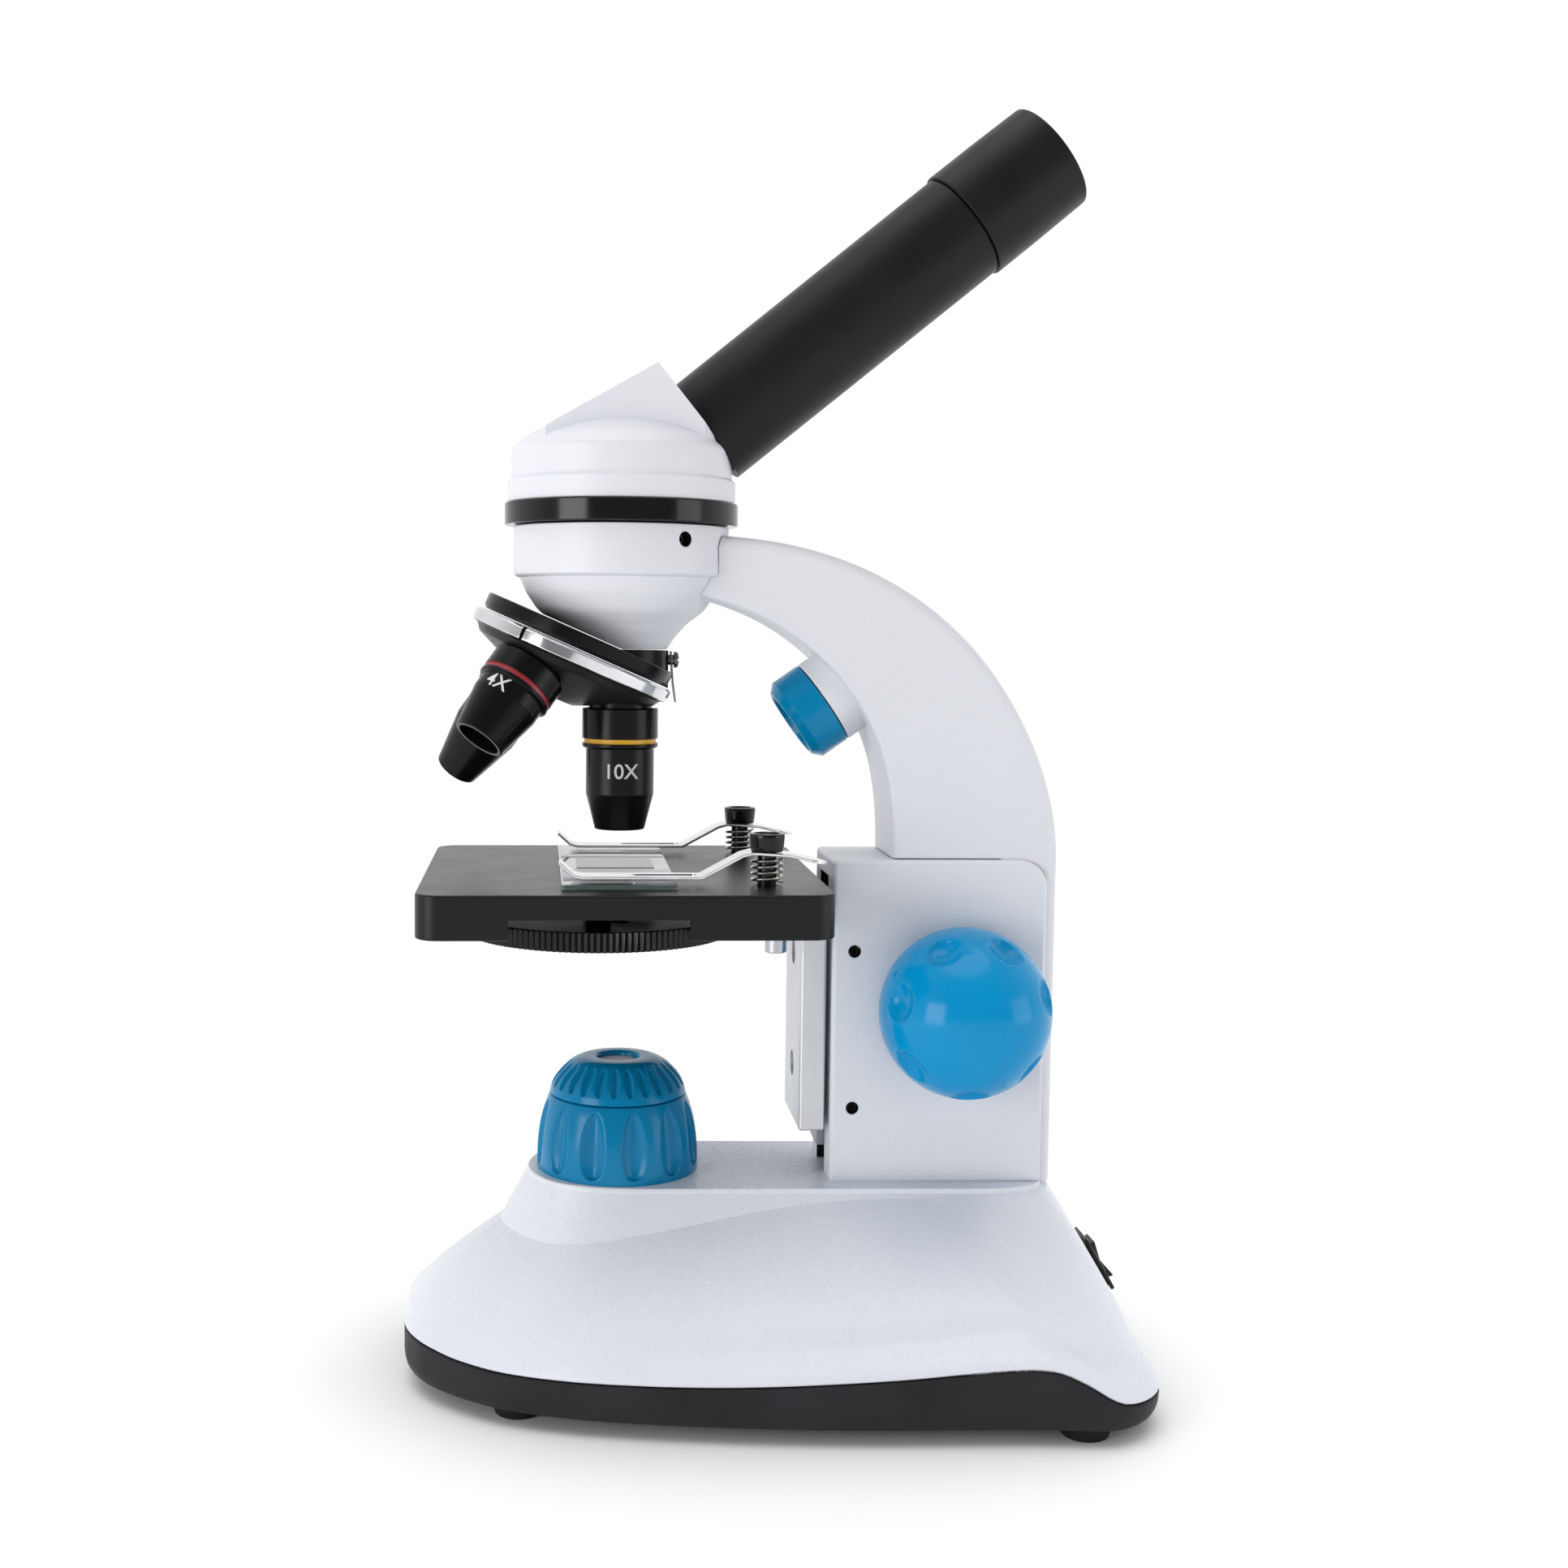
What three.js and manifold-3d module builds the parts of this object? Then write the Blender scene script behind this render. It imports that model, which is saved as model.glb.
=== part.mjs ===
// A kids' student microscope: monocular head on a curved arm, triple nosepiece, square stage on a
// rack-and-pinion focus, one lamp in the base and one under the arm.
// Millimetres, +Z up. The origin is on the table under the middle of the base. +X points from the
// stage to the back of the arm, and the near side, with the "near" parts, is -Y.
// Shapes are drawn about the specimen point: the optical axis at the top face of the stage.
import * as THREE from "three";
import { mergeGeometries, mergeVertices } from "three/addons/utils/BufferGeometryUtils.js";
import Module from "manifold-3d";

const wasm = await Module();
wasm.setup();

// ---------- driving dimensions ----------
const AXIS_X = -35.9; // optical axis, from the middle of the base
const STAGE_TOP = 118.5; // height of the stage's top face over the table
const GROUND = -STAGE_TOP; // the table, seen from the specimen point
const GAP = 0.3; // clearance between neighbouring pieces
const ROUND = 28; // sides of a large turned part
const MEDIUM = 20; // sides of an objective or a lens
const SMALL = 12; // sides of a screw or a stem

const BASE = { front: -50, rear: 121.8, floor: GROUND + 3.5, top: -71.5, wall: 2.4 };
const ARM = { halfWidth: 12.6, rear: 101.4, columnFront: 88, foot: -71.2 };
const HOUSING = { front: 49, rear: 99.2, top: 3.6, foot: -71.2, halfWidth: 13.9, inside: 11.4, wall: 2.5 };
const HEAD = { radius: 25, foot: 51.7, step: 68.4, top: 79.8 };
const COLLAR = { radius: 27.1, foot: 80.1, top: 85.2 };
const TUBE = { radius: 12.5, bore: 11.2, spigot: 10.5, rise: 39, start: 0.7, end: 76 };
const EYEPIECE = { radius: 13.4, sleeve: 10.9, length: 27 };
const NOSE = { apex: 76.4, tilt: 23.5, plate: 22, rim: 24.4, face: 26.9, shoulder: 38.4 };
const STAGE = { halfX: 45, halfY: 46.2, thick: 9.3, skin: 3, wall: 2.6, hole: 9, screwX: 34.8, screwY: 22 };
const DISC = { x: -5.3, y: -14.6, radius: 29.8, top: -8.3, thick: 4.3 };
const POST = { x: 31.6, y: 30 };
const BRACKET = { front: 42.4, back: 47.8, halfWidth: 11.5, top: -9.6, foot: -61, shelf: 28 };
const BAR = { front: 45.6, shoulder: 52.1, back: 62, neck: 5.5, lip: 2.7, foot: -64.8, top: -10 };
const GEAR = { x: 78, z: -30, teeth: 14, module: 1, pressure: 25, addendum: 0.9, backlash: 0.3 };
const KNOB = { radius: 19.5, depth: 30, bore: 27.5 };
const LAMP = { foot: -71.2, seam: -53.7, top: -45.1, window: 5 };
const TOP_LAMP = { x: 47.85, z: 39.5, dip: 35.1, radius: 10.5, length: 9.1 };
const SWITCH = { x: 115.9, z: -96.6, slope: -60 };
const BATTERY = { radius: 7.1, length: 50, x: 48, z: GROUND + 16.6, pitch: 14.8 };

// ---------- solids ----------
const rad = THREE.MathUtils.degToRad;

function solidOf(geometry) {
  const bare = geometry.index ? geometry.toNonIndexed() : geometry.clone();
  for (const name of Object.keys(bare.attributes)) {
    if (name !== "position") bare.deleteAttribute(name);
  }
  const merged = mergeVertices(bare, 1e-4);
  return new wasm.Manifold(
    new wasm.Mesh({
      numProp: 3,
      vertProperties: merged.attributes.position.array,
      triVerts: new Uint32Array(merged.index.array),
    }),
  );
}

function geometryOf(solid) {
  const mesh = solid.getMesh();
  const geometry = new THREE.BufferGeometry();
  geometry.setAttribute("position", new THREE.BufferAttribute(mesh.vertProperties, 3));
  geometry.setIndex(new THREE.BufferAttribute(mesh.triVerts, 1));
  geometry.computeVertexNormals();
  return geometry;
}

// The first geometry with all the others cut from it.
function cut(geometry, ...tools) {
  return geometryOf(tools.reduce((left, tool) => left.subtract(solidOf(tool)), solidOf(geometry)));
}

function join(...geometries) {
  return geometryOf(geometries.map(solidOf).reduce((a, b) => a.add(b)));
}

// A turned solid about +Z from [radius, height] points that start and end on the axis,
// or that close on themselves when open is false.
function turned(profile, sides = ROUND, closed = false) {
  const points = profile.map(([r, z]) => new THREE.Vector2(r, z));
  if (closed) points.push(points[0].clone());
  return new THREE.LatheGeometry(points, sides).rotateX(Math.PI / 2);
}

function rod(radius, from, to, sides = SMALL) {
  return turned([[0, from], [radius, from], [radius, to], [0, to]], sides);
}

function ring(outer, inner, from, to, sides = ROUND) {
  return turned([[inner, from], [outer, from], [outer, to], [inner, to]], sides, true);
}

// A box from its lowest to its highest corner.
function box(x0, y0, z0, x1, y1, z1) {
  const geometry = new THREE.BoxGeometry(x1 - x0, y1 - y0, z1 - z0);
  return geometry.translate((x0 + x1) / 2, (y0 + y1) / 2, (z0 + z1) / 2);
}

// A side view in X and Z, extruded across Y with softened edges.
function slab(shape, halfWidth, soft = 0, segments = 10) {
  const geometry = new THREE.ExtrudeGeometry(shape, {
    depth: 2 * (halfWidth - soft),
    bevelEnabled: soft > 0,
    bevelThickness: soft,
    bevelSize: soft,
    bevelOffset: -soft,
    bevelSegments: 1,
    curveSegments: segments,
  });
  return geometry.rotateX(Math.PI / 2).translate(0, halfWidth - soft, 0);
}

// A plan view in X and Y, extruded up from z0 to z1.
function plate(shape, z0, z1, segments = 6) {
  const settings = { depth: z1 - z0, bevelEnabled: false, curveSegments: segments };
  return new THREE.ExtrudeGeometry(shape, settings).translate(0, 0, z0);
}

function roundedRectangle(x0, y0, x1, y1, r) {
  const shape = new THREE.Shape();
  shape.moveTo(x0 + r, y0);
  shape.lineTo(x1 - r, y0);
  shape.absarc(x1 - r, y0 + r, r, -Math.PI / 2, 0);
  shape.lineTo(x1, y1 - r);
  shape.absarc(x1 - r, y1 - r, r, 0, Math.PI / 2);
  shape.lineTo(x0 + r, y1);
  shape.absarc(x0 + r, y1 - r, r, Math.PI / 2, Math.PI);
  shape.lineTo(x0, y0 + r);
  shape.absarc(x0 + r, y0 + r, r, Math.PI, 1.5 * Math.PI);
  return shape;
}

// A value that runs smoothly through [position, value] points.
function through(points, at) {
  const last = points.length - 1;
  if (at <= points[0][0]) return points[0][1];
  if (at >= points[last][0]) return points[last][1];
  const i = points.findIndex(([x]) => x > at) - 1;
  const [x0, y0] = points[i];
  const [x1, y1] = points[i + 1];
  const slope = (k) => {
    const a = points[Math.max(k - 1, 0)];
    const b = points[Math.min(k + 1, last)];
    return (b[1] - a[1]) / (b[0] - a[0]);
  };
  const d = x1 - x0;
  const t = (at - x0) / d;
  return (
    (2 * t ** 3 - 3 * t ** 2 + 1) * y0 +
    (t ** 3 - 2 * t ** 2 + t) * d * slope(i) +
    (3 * t ** 2 - 2 * t ** 3) * y1 +
    (t ** 3 - t ** 2) * d * slope(i + 1)
  );
}

// ---------- materials ----------
function material(color, roughness, metalness = 0) {
  return new THREE.MeshStandardMaterial({ color, roughness, metalness });
}

const WHITE = material(0xeceef2, 0.45);
const BLACK = material(0x1a1a1c, 0.45);
const GLOSS_BLACK = material(0x0c0c0d, 0.15);
const RUBBER = material(0x101010, 0.9);
const BLUE = material(0x0d7fb5, 0.35);
const KNOB_BLUE = material(0x1492d2, 0.3);
const CHROME = material(0xd8dadd, 0.12, 1);
const STEEL = material(0x9aa0a6, 0.35, 1);
const ALUMINIUM = material(0xc9ccd0, 0.5, 0.6);
const BRASS = material(0xc8a24a, 0.35, 1);
const GLASS = material(0xdff2ee, 0.05);
const FROSTED = material(0xf2f4f4, 0.6);
const GREEN = material(0x1f6b3a, 0.6);
const LABEL = material(0x4a7d3a, 0.5);

const works = new THREE.Group();
works.position.set(AXIS_X, 0, STAGE_TOP);

function add(name, geometry, finish, parent = works) {
  const mesh = new THREE.Mesh(geometry, finish);
  mesh.name = name;
  parent.add(mesh);
  return mesh;
}

// ---------- base ----------
// Half outlines from the front tip to the rear tip, on the near side.
const FLOOR_LINE = [
  [BASE.front, 0], [-49.3, -16], [-45.6, -25], [-41, -30.5], [-33.5, -37], [-26.2, -41.6], [-12, -46.8],
  [5.4, -50.5], [22.6, -53], [40, -54.8], [57, -55.9], [75, -56.3], [91, -56.9], [99, -57.8], [106, -57.9],
  [112, -55], [116.4, -50], [119.3, -43], [121.3, -24], [BASE.rear, 0],
];
const CREASE_LINE = [
  [-29, 0], [-26, -13], [-17, -22], [0, -27], [30, -26.5], [70, -25],
  [92, -24], [102, -18.5], [105.6, -9], [106.2, 0],
];
const TOP_LINE = [
  [-20.8, 0], [-18.5, -9.5], [-12.5, -16.6], [0, -20.8], [30, -20.8], [70, -20.5],
  [90, -20], [98, -16.5], [101.3, -8.5], [101.8, 0],
];
// Where the white shell ends and the black pan begins, over the table.
const SEAM_LINE = [
  [-50, 16], [-45, 13.6], [-37, 12.8], [-12, 13.6], [22, 14.5], [57, 16.2], [85, 17.5],
  [93, 16], [99, 13.5], [105, 10.5], [109, 9.7], [122, 8.8],
];
const CREASE_HEIGHT = [[-28, -84], [-14, -83], [0, -82], [30, -77], [60, -73.8], [106, -73]];
const BASE_POINTS = 46;

// The closed plan curve through a half outline and its mirror image, evenly spaced.
function planCurve(half) {
  const points = half.map(([x, y]) => new THREE.Vector3(x, y, 0));
  const mirrored = half.slice(1, -1).reverse().map(([x, y]) => new THREE.Vector3(x, -y, 0));
  const curve = new THREE.CatmullRomCurve3([...points, ...mirrored], true, "centripetal");
  curve.arcLengthDivisions = 400;
  return curve.getSpacedPoints(BASE_POINTS).slice(0, BASE_POINTS);
}

// The same curve moved inwards by a distance.
function inset(points, distance) {
  return points.map((p, i) => {
    const before = points.at(i - 1);
    const after = points[(i + 1) % points.length];
    const along = after.clone().sub(before).normalize();
    return new THREE.Vector3(p.x - along.y * distance, p.y + along.x * distance, p.z);
  });
}

// A closed skin through rings of equal length, from the first ring to the last, both capped.
function loft(rings) {
  const n = rings[0].length;
  const middle = (points) => {
    const sum = points.reduce((a, p) => a.add(p), new THREE.Vector3());
    return sum.divideScalar(n);
  };
  const vertices = rings.flat().map((p) => p.toArray());
  vertices.push(middle(rings[0]).toArray(), middle(rings.at(-1)).toArray());
  const first = rings.length * n;
  const faces = [];
  for (let i = 0; i < n; i++) {
    const j = (i + 1) % n;
    faces.push([first, j, i], [first + 1, first - n + i, first - n + j]);
    for (let k = 0; k + 1 < rings.length; k++) {
      const low = k * n;
      const high = low + n;
      faces.push([low + i, low + j, high + j], [low + i, high + j, high + i]);
    }
  }
  const geometry = new THREE.BufferGeometry();
  geometry.setAttribute("position", new THREE.Float32BufferAttribute(vertices.flat(), 3));
  geometry.setIndex(faces.flat());
  return geometry;
}

// The rings of the shell's outside, moved in by a wall's thickness.
function shellRings(thickness, seamDrop) {
  const floor = inset(planCurve(FLOOR_LINE), thickness);
  const crease = inset(planCurve(CREASE_LINE), thickness);
  const top = inset(planCurve(TOP_LINE), thickness);
  const rings = [floor.map((p) => new THREE.Vector3(p.x, p.y, GROUND + seamAt(p.x) - seamDrop))];
  for (const s of [0, 0.08, 0.25, 0.55, 1]) {
    rings.push(
      floor.map((p, i) => {
        const c = crease[i];
        const low = GROUND + seamAt(p.x) + 0.4;
        const high = through(CREASE_HEIGHT, c.x) - thickness;
        const bulge = p.x > 60 ? THREE.MathUtils.lerp(0.62, 0.95, (p.x - 60) / 65) : 0.62;
        const z = low + (high - low) * s ** bulge;
        return new THREE.Vector3(p.x + (c.x - p.x) * s, p.y + (c.y - p.y) * s, z);
      }),
    );
  }
  const edge = (share, z) => top.map((p, i) => new THREE.Vector3().lerpVectors(crease[i], p, share).setZ(z));
  rings.push(edge(0.85, BASE.top - thickness - 1.6), edge(1, BASE.top - thickness));
  return rings;
}

function seamAt(x) {
  return through(SEAM_LINE, x);
}

function addBase() {
  const outside = loft(shellRings(0, 0));
  const inside = loft(shellRings(BASE.wall, 12));
  const wireHole = rod(5, BASE.top - 8, BASE.top + 1);
  const switchSeat = switchFrame(box(-7.8, -5.6, 0, 7.8, 5.6, 8));
  const switchHole = switchFrame(box(-6.3, -4.3, -12, 6.3, 4.3, 6));
  add("base_shell", cut(outside, inside, wireHole, switchSeat, switchHole), WHITE);

  const wallTop = (x) => GROUND + seamAt(x) - GAP;
  const outline = planCurve(FLOOR_LINE);
  const level = (points, z) => points.map((p) => new THREE.Vector3(p.x, p.y, z));
  const pan = loft([
    level(inset(outline, 2.2), BASE.floor),
    level(inset(outline, 0.6), BASE.floor + 1.2),
    level(outline, BASE.floor + 4),
    outline.map((p) => new THREE.Vector3(p.x, p.y, wallTop(p.x))),
  ]);
  const hollow = loft([
    level(inset(outline, BASE.wall + 1), BASE.floor + 2.6),
    level(inset(outline, BASE.wall + 1), GROUND + 30),
  ]);
  const x0 = BATTERY.x - 25;
  const doorHole = box(x0, -28, BASE.floor - 1, x0 + 50, 28, BASE.floor + 4);
  add("base_pan", cut(pan, hollow, doorHole), BLACK);
  const door = box(x0 + GAP, -28 + GAP, BASE.floor, x0 + 50 - GAP, 28 - GAP, BASE.floor + 2.2);
  const grips = [-3, 0, 3].map((x) => box(BATTERY.x + x - 0.5, 18, 0, BATTERY.x + x + 0.5, 25, 0.7));
  add("battery_door", cut(door, ...grips.map((g) => g.translate(0, 0, BASE.floor - 0.1))), BLACK);

  [-1, 0, 1].forEach((k, i) => {
    const half = BATTERY.length / 2;
    const cell = turned(
      [[0, -half], [BATTERY.radius, -half], [BATTERY.radius, half - 1.2], [2.7, half - 1.2], [2.7, half], [0, half]],
      SMALL,
    );
    const mesh = add(`battery_${i + 1}`, cell, k ? LABEL : BRASS);
    mesh.rotation.x = k ? Math.PI / 2 : -Math.PI / 2;
    mesh.position.set(BATTERY.x + k * (BATTERY.pitch + GAP), 0, BATTERY.z);
  });
  const board = box(-10, -16, 0, 16, 16, 1.6).translate(6, 0, GROUND + 28);
  add("circuit_board", board, GREEN);

  const feet = { front_near: [-24, -32], front_far: [-24, 32], rear_near: [103, -49], rear_far: [103, 49] };
  for (const [place, [x, y]] of Object.entries(feet)) {
    const foot = turned([[0, GROUND], [5.2, GROUND], [6, GROUND + 3.2], [0, GROUND + 3.2]], SMALL);
    add(`foot_${place}`, foot.translate(x, y, 0), RUBBER);
  }
}

// The frame of the rear switch: local X runs down the slope and local Z out of the shell.
function switchFrame(geometry) {
  return geometry.rotateY(rad(-SWITCH.slope)).translate(SWITCH.x, 0, SWITCH.z);
}

function addSwitch() {
  const bezel = cut(
    join(box(-7.5, -5.3, 0.3, 7.5, 5.3, 1.3), box(-6, -4, -10, 6, 4, 0.6)),
    box(-5.4, -3.4, -3.5, 5.4, 3.4, 3),
  );
  add("switch_body", switchFrame(bezel), BLACK);
  const side = new THREE.Shape();
  side.moveTo(-5, 2.6);
  side.lineTo(0, 1.5);
  side.lineTo(5, 2.6);
  side.lineTo(4.6, 0.6);
  side.lineTo(0, -2.2);
  side.lineTo(-4.6, 0.6);
  add("switch_rocker", switchFrame(slab(side, 3.1)), BLACK);
}

function addBaseLamp() {
  const { foot, seam, top, window } = LAMP;
  const collar = turned(
    [[8, foot], [19.2, foot], [19.1, -66], [18.6, -61], [17.7, -57], [16.3, seam - 0.1], [8, seam - 0.1]],
    ROUND, true,
  );
  add("lamp_collar", collar, BLUE);
  const cap = turned(
    [
      [11, seam + 0.2], [16.2, seam + 0.2], [15.2, -50.3], [13.6, -47.8], [11.6, -46.2], [8.8, -45.2],
      [window + 0.4, top], [window, -46], [window, -47.5], [11, -49.5],
    ],
    ROUND, true,
  );
  add("lamp_cap", cap, BLUE);
  add("lamp_window", rod(window - GAP, -47.3, -46.1, MEDIUM), FROSTED);
  const led = join(rod(6, foot + GAP, -66, SMALL), rod(2.6, -66.1, -61, SMALL));
  add("base_led", led, FROSTED);
}

// ---------- arm and focus housing ----------
const GIB_SCREWS = [-17.7, -54.6];

function headOutside(extra) {
  const r = HEAD.radius + extra;
  return [
    [0, HEAD.foot - extra], [10.8 + extra, HEAD.foot - extra], [12.6 + extra, 54.4], [15.2 + extra, 57.4],
    [19.4 + extra, 60.6], [22.1 + extra, 64.6], [23.6 + extra, HEAD.step], [r, HEAD.step], [r, HEAD.top],
    [0, HEAD.top],
  ];
}

function topLampFrame(geometry) {
  return geometry.rotateY(rad(-90 - TOP_LAMP.dip)).translate(TOP_LAMP.x, 0, TOP_LAMP.z);
}

function addArm() {
  const side = new THREE.Shape();
  side.moveTo(12, 77.1);
  side.bezierCurveTo(46, 78.4, 69, 66.5, 84, 48.3);
  side.bezierCurveTo(95, 34.5, ARM.rear, 18, ARM.rear, 3.9);
  side.lineTo(62.7, 3.9);
  side.bezierCurveTo(62.7, 24, 58.5, 34.5, 49.5, 45.2);
  side.bezierCurveTo(39, 56.4, 28, 61.6, 12, 64.6);
  const arch = slab(side, ARM.halfWidth, 1.4, 9);
  const column = box(ARM.columnFront, -ARM.halfWidth, ARM.foot, ARM.rear, ARM.halfWidth, 6);
  const boss = topLampFrame(rod(TOP_LAMP.radius, -11, 0, MEDIUM));
  const bored = topLampFrame(rod(5, -9, 1, SMALL));
  const duct = box(ARM.columnFront + 4, -5, ARM.foot - 1, ARM.rear - 3, 5, 1);
  add("arm", cut(join(arch, column, boss), turned(headOutside(GAP)), bored, duct), WHITE);

  const { front, rear, top, foot, halfWidth, inside, wall } = HOUSING;
  const outline = new THREE.Shape();
  outline.moveTo(front, foot);
  outline.lineTo(rear, foot);
  outline.lineTo(rear, top - 6.5);
  outline.absarc(rear - 6.5, top - 6.5, 6.5, 0, Math.PI / 2);
  outline.lineTo(front, top);
  const skin = slab(outline, halfWidth, 0, 6);
  const cavity = box(front + wall, -inside, foot - 1, rear, inside, top - wall);
  const slot = ARM.halfWidth + GAP;
  const armSlot = box(ARM.columnFront - GAP, -slot, foot - 1, rear + 1, slot, top + 1);
  const slideSlot = box(front - 1, -BAR.neck - 0.6, foot - 1, front + wall + 1, BAR.neck + 0.6, -1);
  const shaftHole = rod(3.1, -20, 20, SMALL).rotateX(Math.PI / 2).translate(GEAR.x, 0, GEAR.z);
  const gibHoles = GIB_SCREWS.map((z) => rod(1.5, 8, 20, SMALL).rotateX(Math.PI / 2).translate(54.2, 0, z));
  add("focus_housing", cut(skin, cavity, armSlot, slideSlot, shaftHole, ...gibHoles), WHITE);
  const gibEdge = -(inside - GAP);
  add("gib", box(51.8, gibEdge, -66, 56.6, -(BAR.neck + BAR.lip + 0.4), -2), BRASS);
  ["upper", "lower"].forEach((name, i) => {
    const screw = cut(rod(1.2, 0, 1.7, SMALL), rod(0.6, 0.9, 3, 6));
    const mesh = add(`gib_screw_${name}`, screw, STEEL);
    mesh.rotation.x = Math.PI / 2;
    mesh.position.set(54.2, gibEdge - GAP, GIB_SCREWS[i]);
  });
}

function addTopLamp() {
  const { radius, length } = TOP_LAMP;
  const shade = turned(
    [[7.2, GAP], [radius, GAP], [radius, length - 1.9], [radius - 1.9, length], [8, length], [7.2, length - 1.5]],
    MEDIUM, true,
  );
  add("top_lamp_cap", topLampFrame(shade), BLUE);
  const lens = turned([[0, 1], [6.9, 1], [6.9, 4.2], [5, 5.6], [2.5, 6.3], [0, 6.5]], MEDIUM);
  add("top_lamp_lens", topLampFrame(lens), GLASS);
}

// ---------- head ----------
function tubeFrame(geometry) {
  return geometry.rotateY(rad(90 - TUBE.rise)).translate(20, 0, 102.5);
}

function addHead() {
  const lockAngle = rad(-57);
  const lock = (geometry) => geometry.rotateY(Math.PI / 2).rotateZ(lockAngle).translate(0, 0, 76.2);
  const noseSeat = inWorld(rod(NOSE.plate + 1.5, -60, -NOSE.face + 4.3, ROUND));
  const lightWell = rod(7, 40, 90, MEDIUM);
  const body = cut(turned(headOutside(0)), noseSeat, lightWell, lock(rod(1.7, 17, 30, SMALL)));
  add("head_body", body, WHITE);
  add("head_lock_screw", cut(lock(rod(1.4, 18, 23.8, SMALL)), lock(rod(0.7, 22, 30, 6))), STEEL);

  const { radius, foot, top } = COLLAR;
  add("head_collar", ring(radius, 12, foot, top), GLOSS_BLACK);

  const drum = turned([
    [0, top + GAP], [26.5, top + GAP], [26.5, 90.3], [25.7, 90.8], [25.7, 97.6], [24.8, 99.4], [21.5, 102],
    [15, 104.8], [8, 106.4], [0, 107],
  ]);
  const wedge = new THREE.Shape();
  wedge.moveTo(-18.4, 92);
  wedge.lineTo(-18.4, 102.4);
  wedge.lineTo(8.2, 117.6);
  wedge.lineTo(24.9, 97);
  wedge.lineTo(22, 92);
  const roof = slab(wedge, 15.5, 0.6);
  const tubeSeat = join(
    tubeFrame(rod(TUBE.spigot + GAP, -9, 5, MEDIUM)),
    tubeFrame(rod(TUBE.radius + GAP, TUBE.start - GAP, 30, MEDIUM)),
  );
  const lightWay = rod(9, 80, 95, MEDIUM);
  const prismRoom = box(-10, -10, 90, 11, 10, 106);
  add("prism_housing", cut(join(drum, roof), tubeSeat, lightWay, prismRoom), WHITE);
  const face = new THREE.Shape();
  face.moveTo(-8.6, 91);
  face.lineTo(7.5, 91);
  face.lineTo(7.5, 96);
  face.lineTo(-1, 105.6);
  face.lineTo(-8.6, 101.5);
  add("prism", slab(face, 9), GLASS);

  const { radius: outer, bore, spigot, start, end } = TUBE;
  const tube = turned(
    [[8.9, -8], [spigot, -8], [spigot, start], [outer, start], [outer, end], [bore, end], [bore, 3], [8.9, 3]],
    MEDIUM, true,
  );
  add("eyepiece_tube", tubeFrame(tube), BLACK);
}

function addEyepiece() {
  const { radius, sleeve, length } = EYEPIECE;
  const end = TUBE.end + GAP;
  const shell = turned(
    [
      [9.4, 52], [sleeve, 52], [sleeve, end], [radius, end], [radius, end + length - 1],
      [radius - 1, end + length], [9.8, end + length], [8.2, end + length - 2.5], [8.2, end + 12], [9.4, end + 10],
    ],
    MEDIUM, true,
  );
  add("eyepiece_barrel", tubeFrame(shell), BLACK);
  const lens = turned([[0, 0], [5, 0.4], [7.9, 1.6], [7.9, 3.4], [5, 4.6], [0, 5]], MEDIUM);
  add("eye_lens", tubeFrame(lens.translate(0, 0, end + length - 9)), GLASS);
}

// ---------- nosepiece ----------
// The nose frame starts at the apex where the objectives' axes meet, with -Z along the turret's axis.
function inWorld(geometry) {
  return geometry.rotateY(rad(NOSE.tilt)).translate(0, 0, NOSE.apex);
}

function inNose(geometry) {
  return geometry.translate(0, 0, -NOSE.apex).rotateY(rad(-NOSE.tilt));
}

// Turns a shape on the axis of the objective in use to the k-th objective, in the nose frame.
function nestAxis(geometry, k) {
  return geometry.rotateY(rad(-NOSE.tilt)).rotateZ(rad(120 * k));
}

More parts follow.
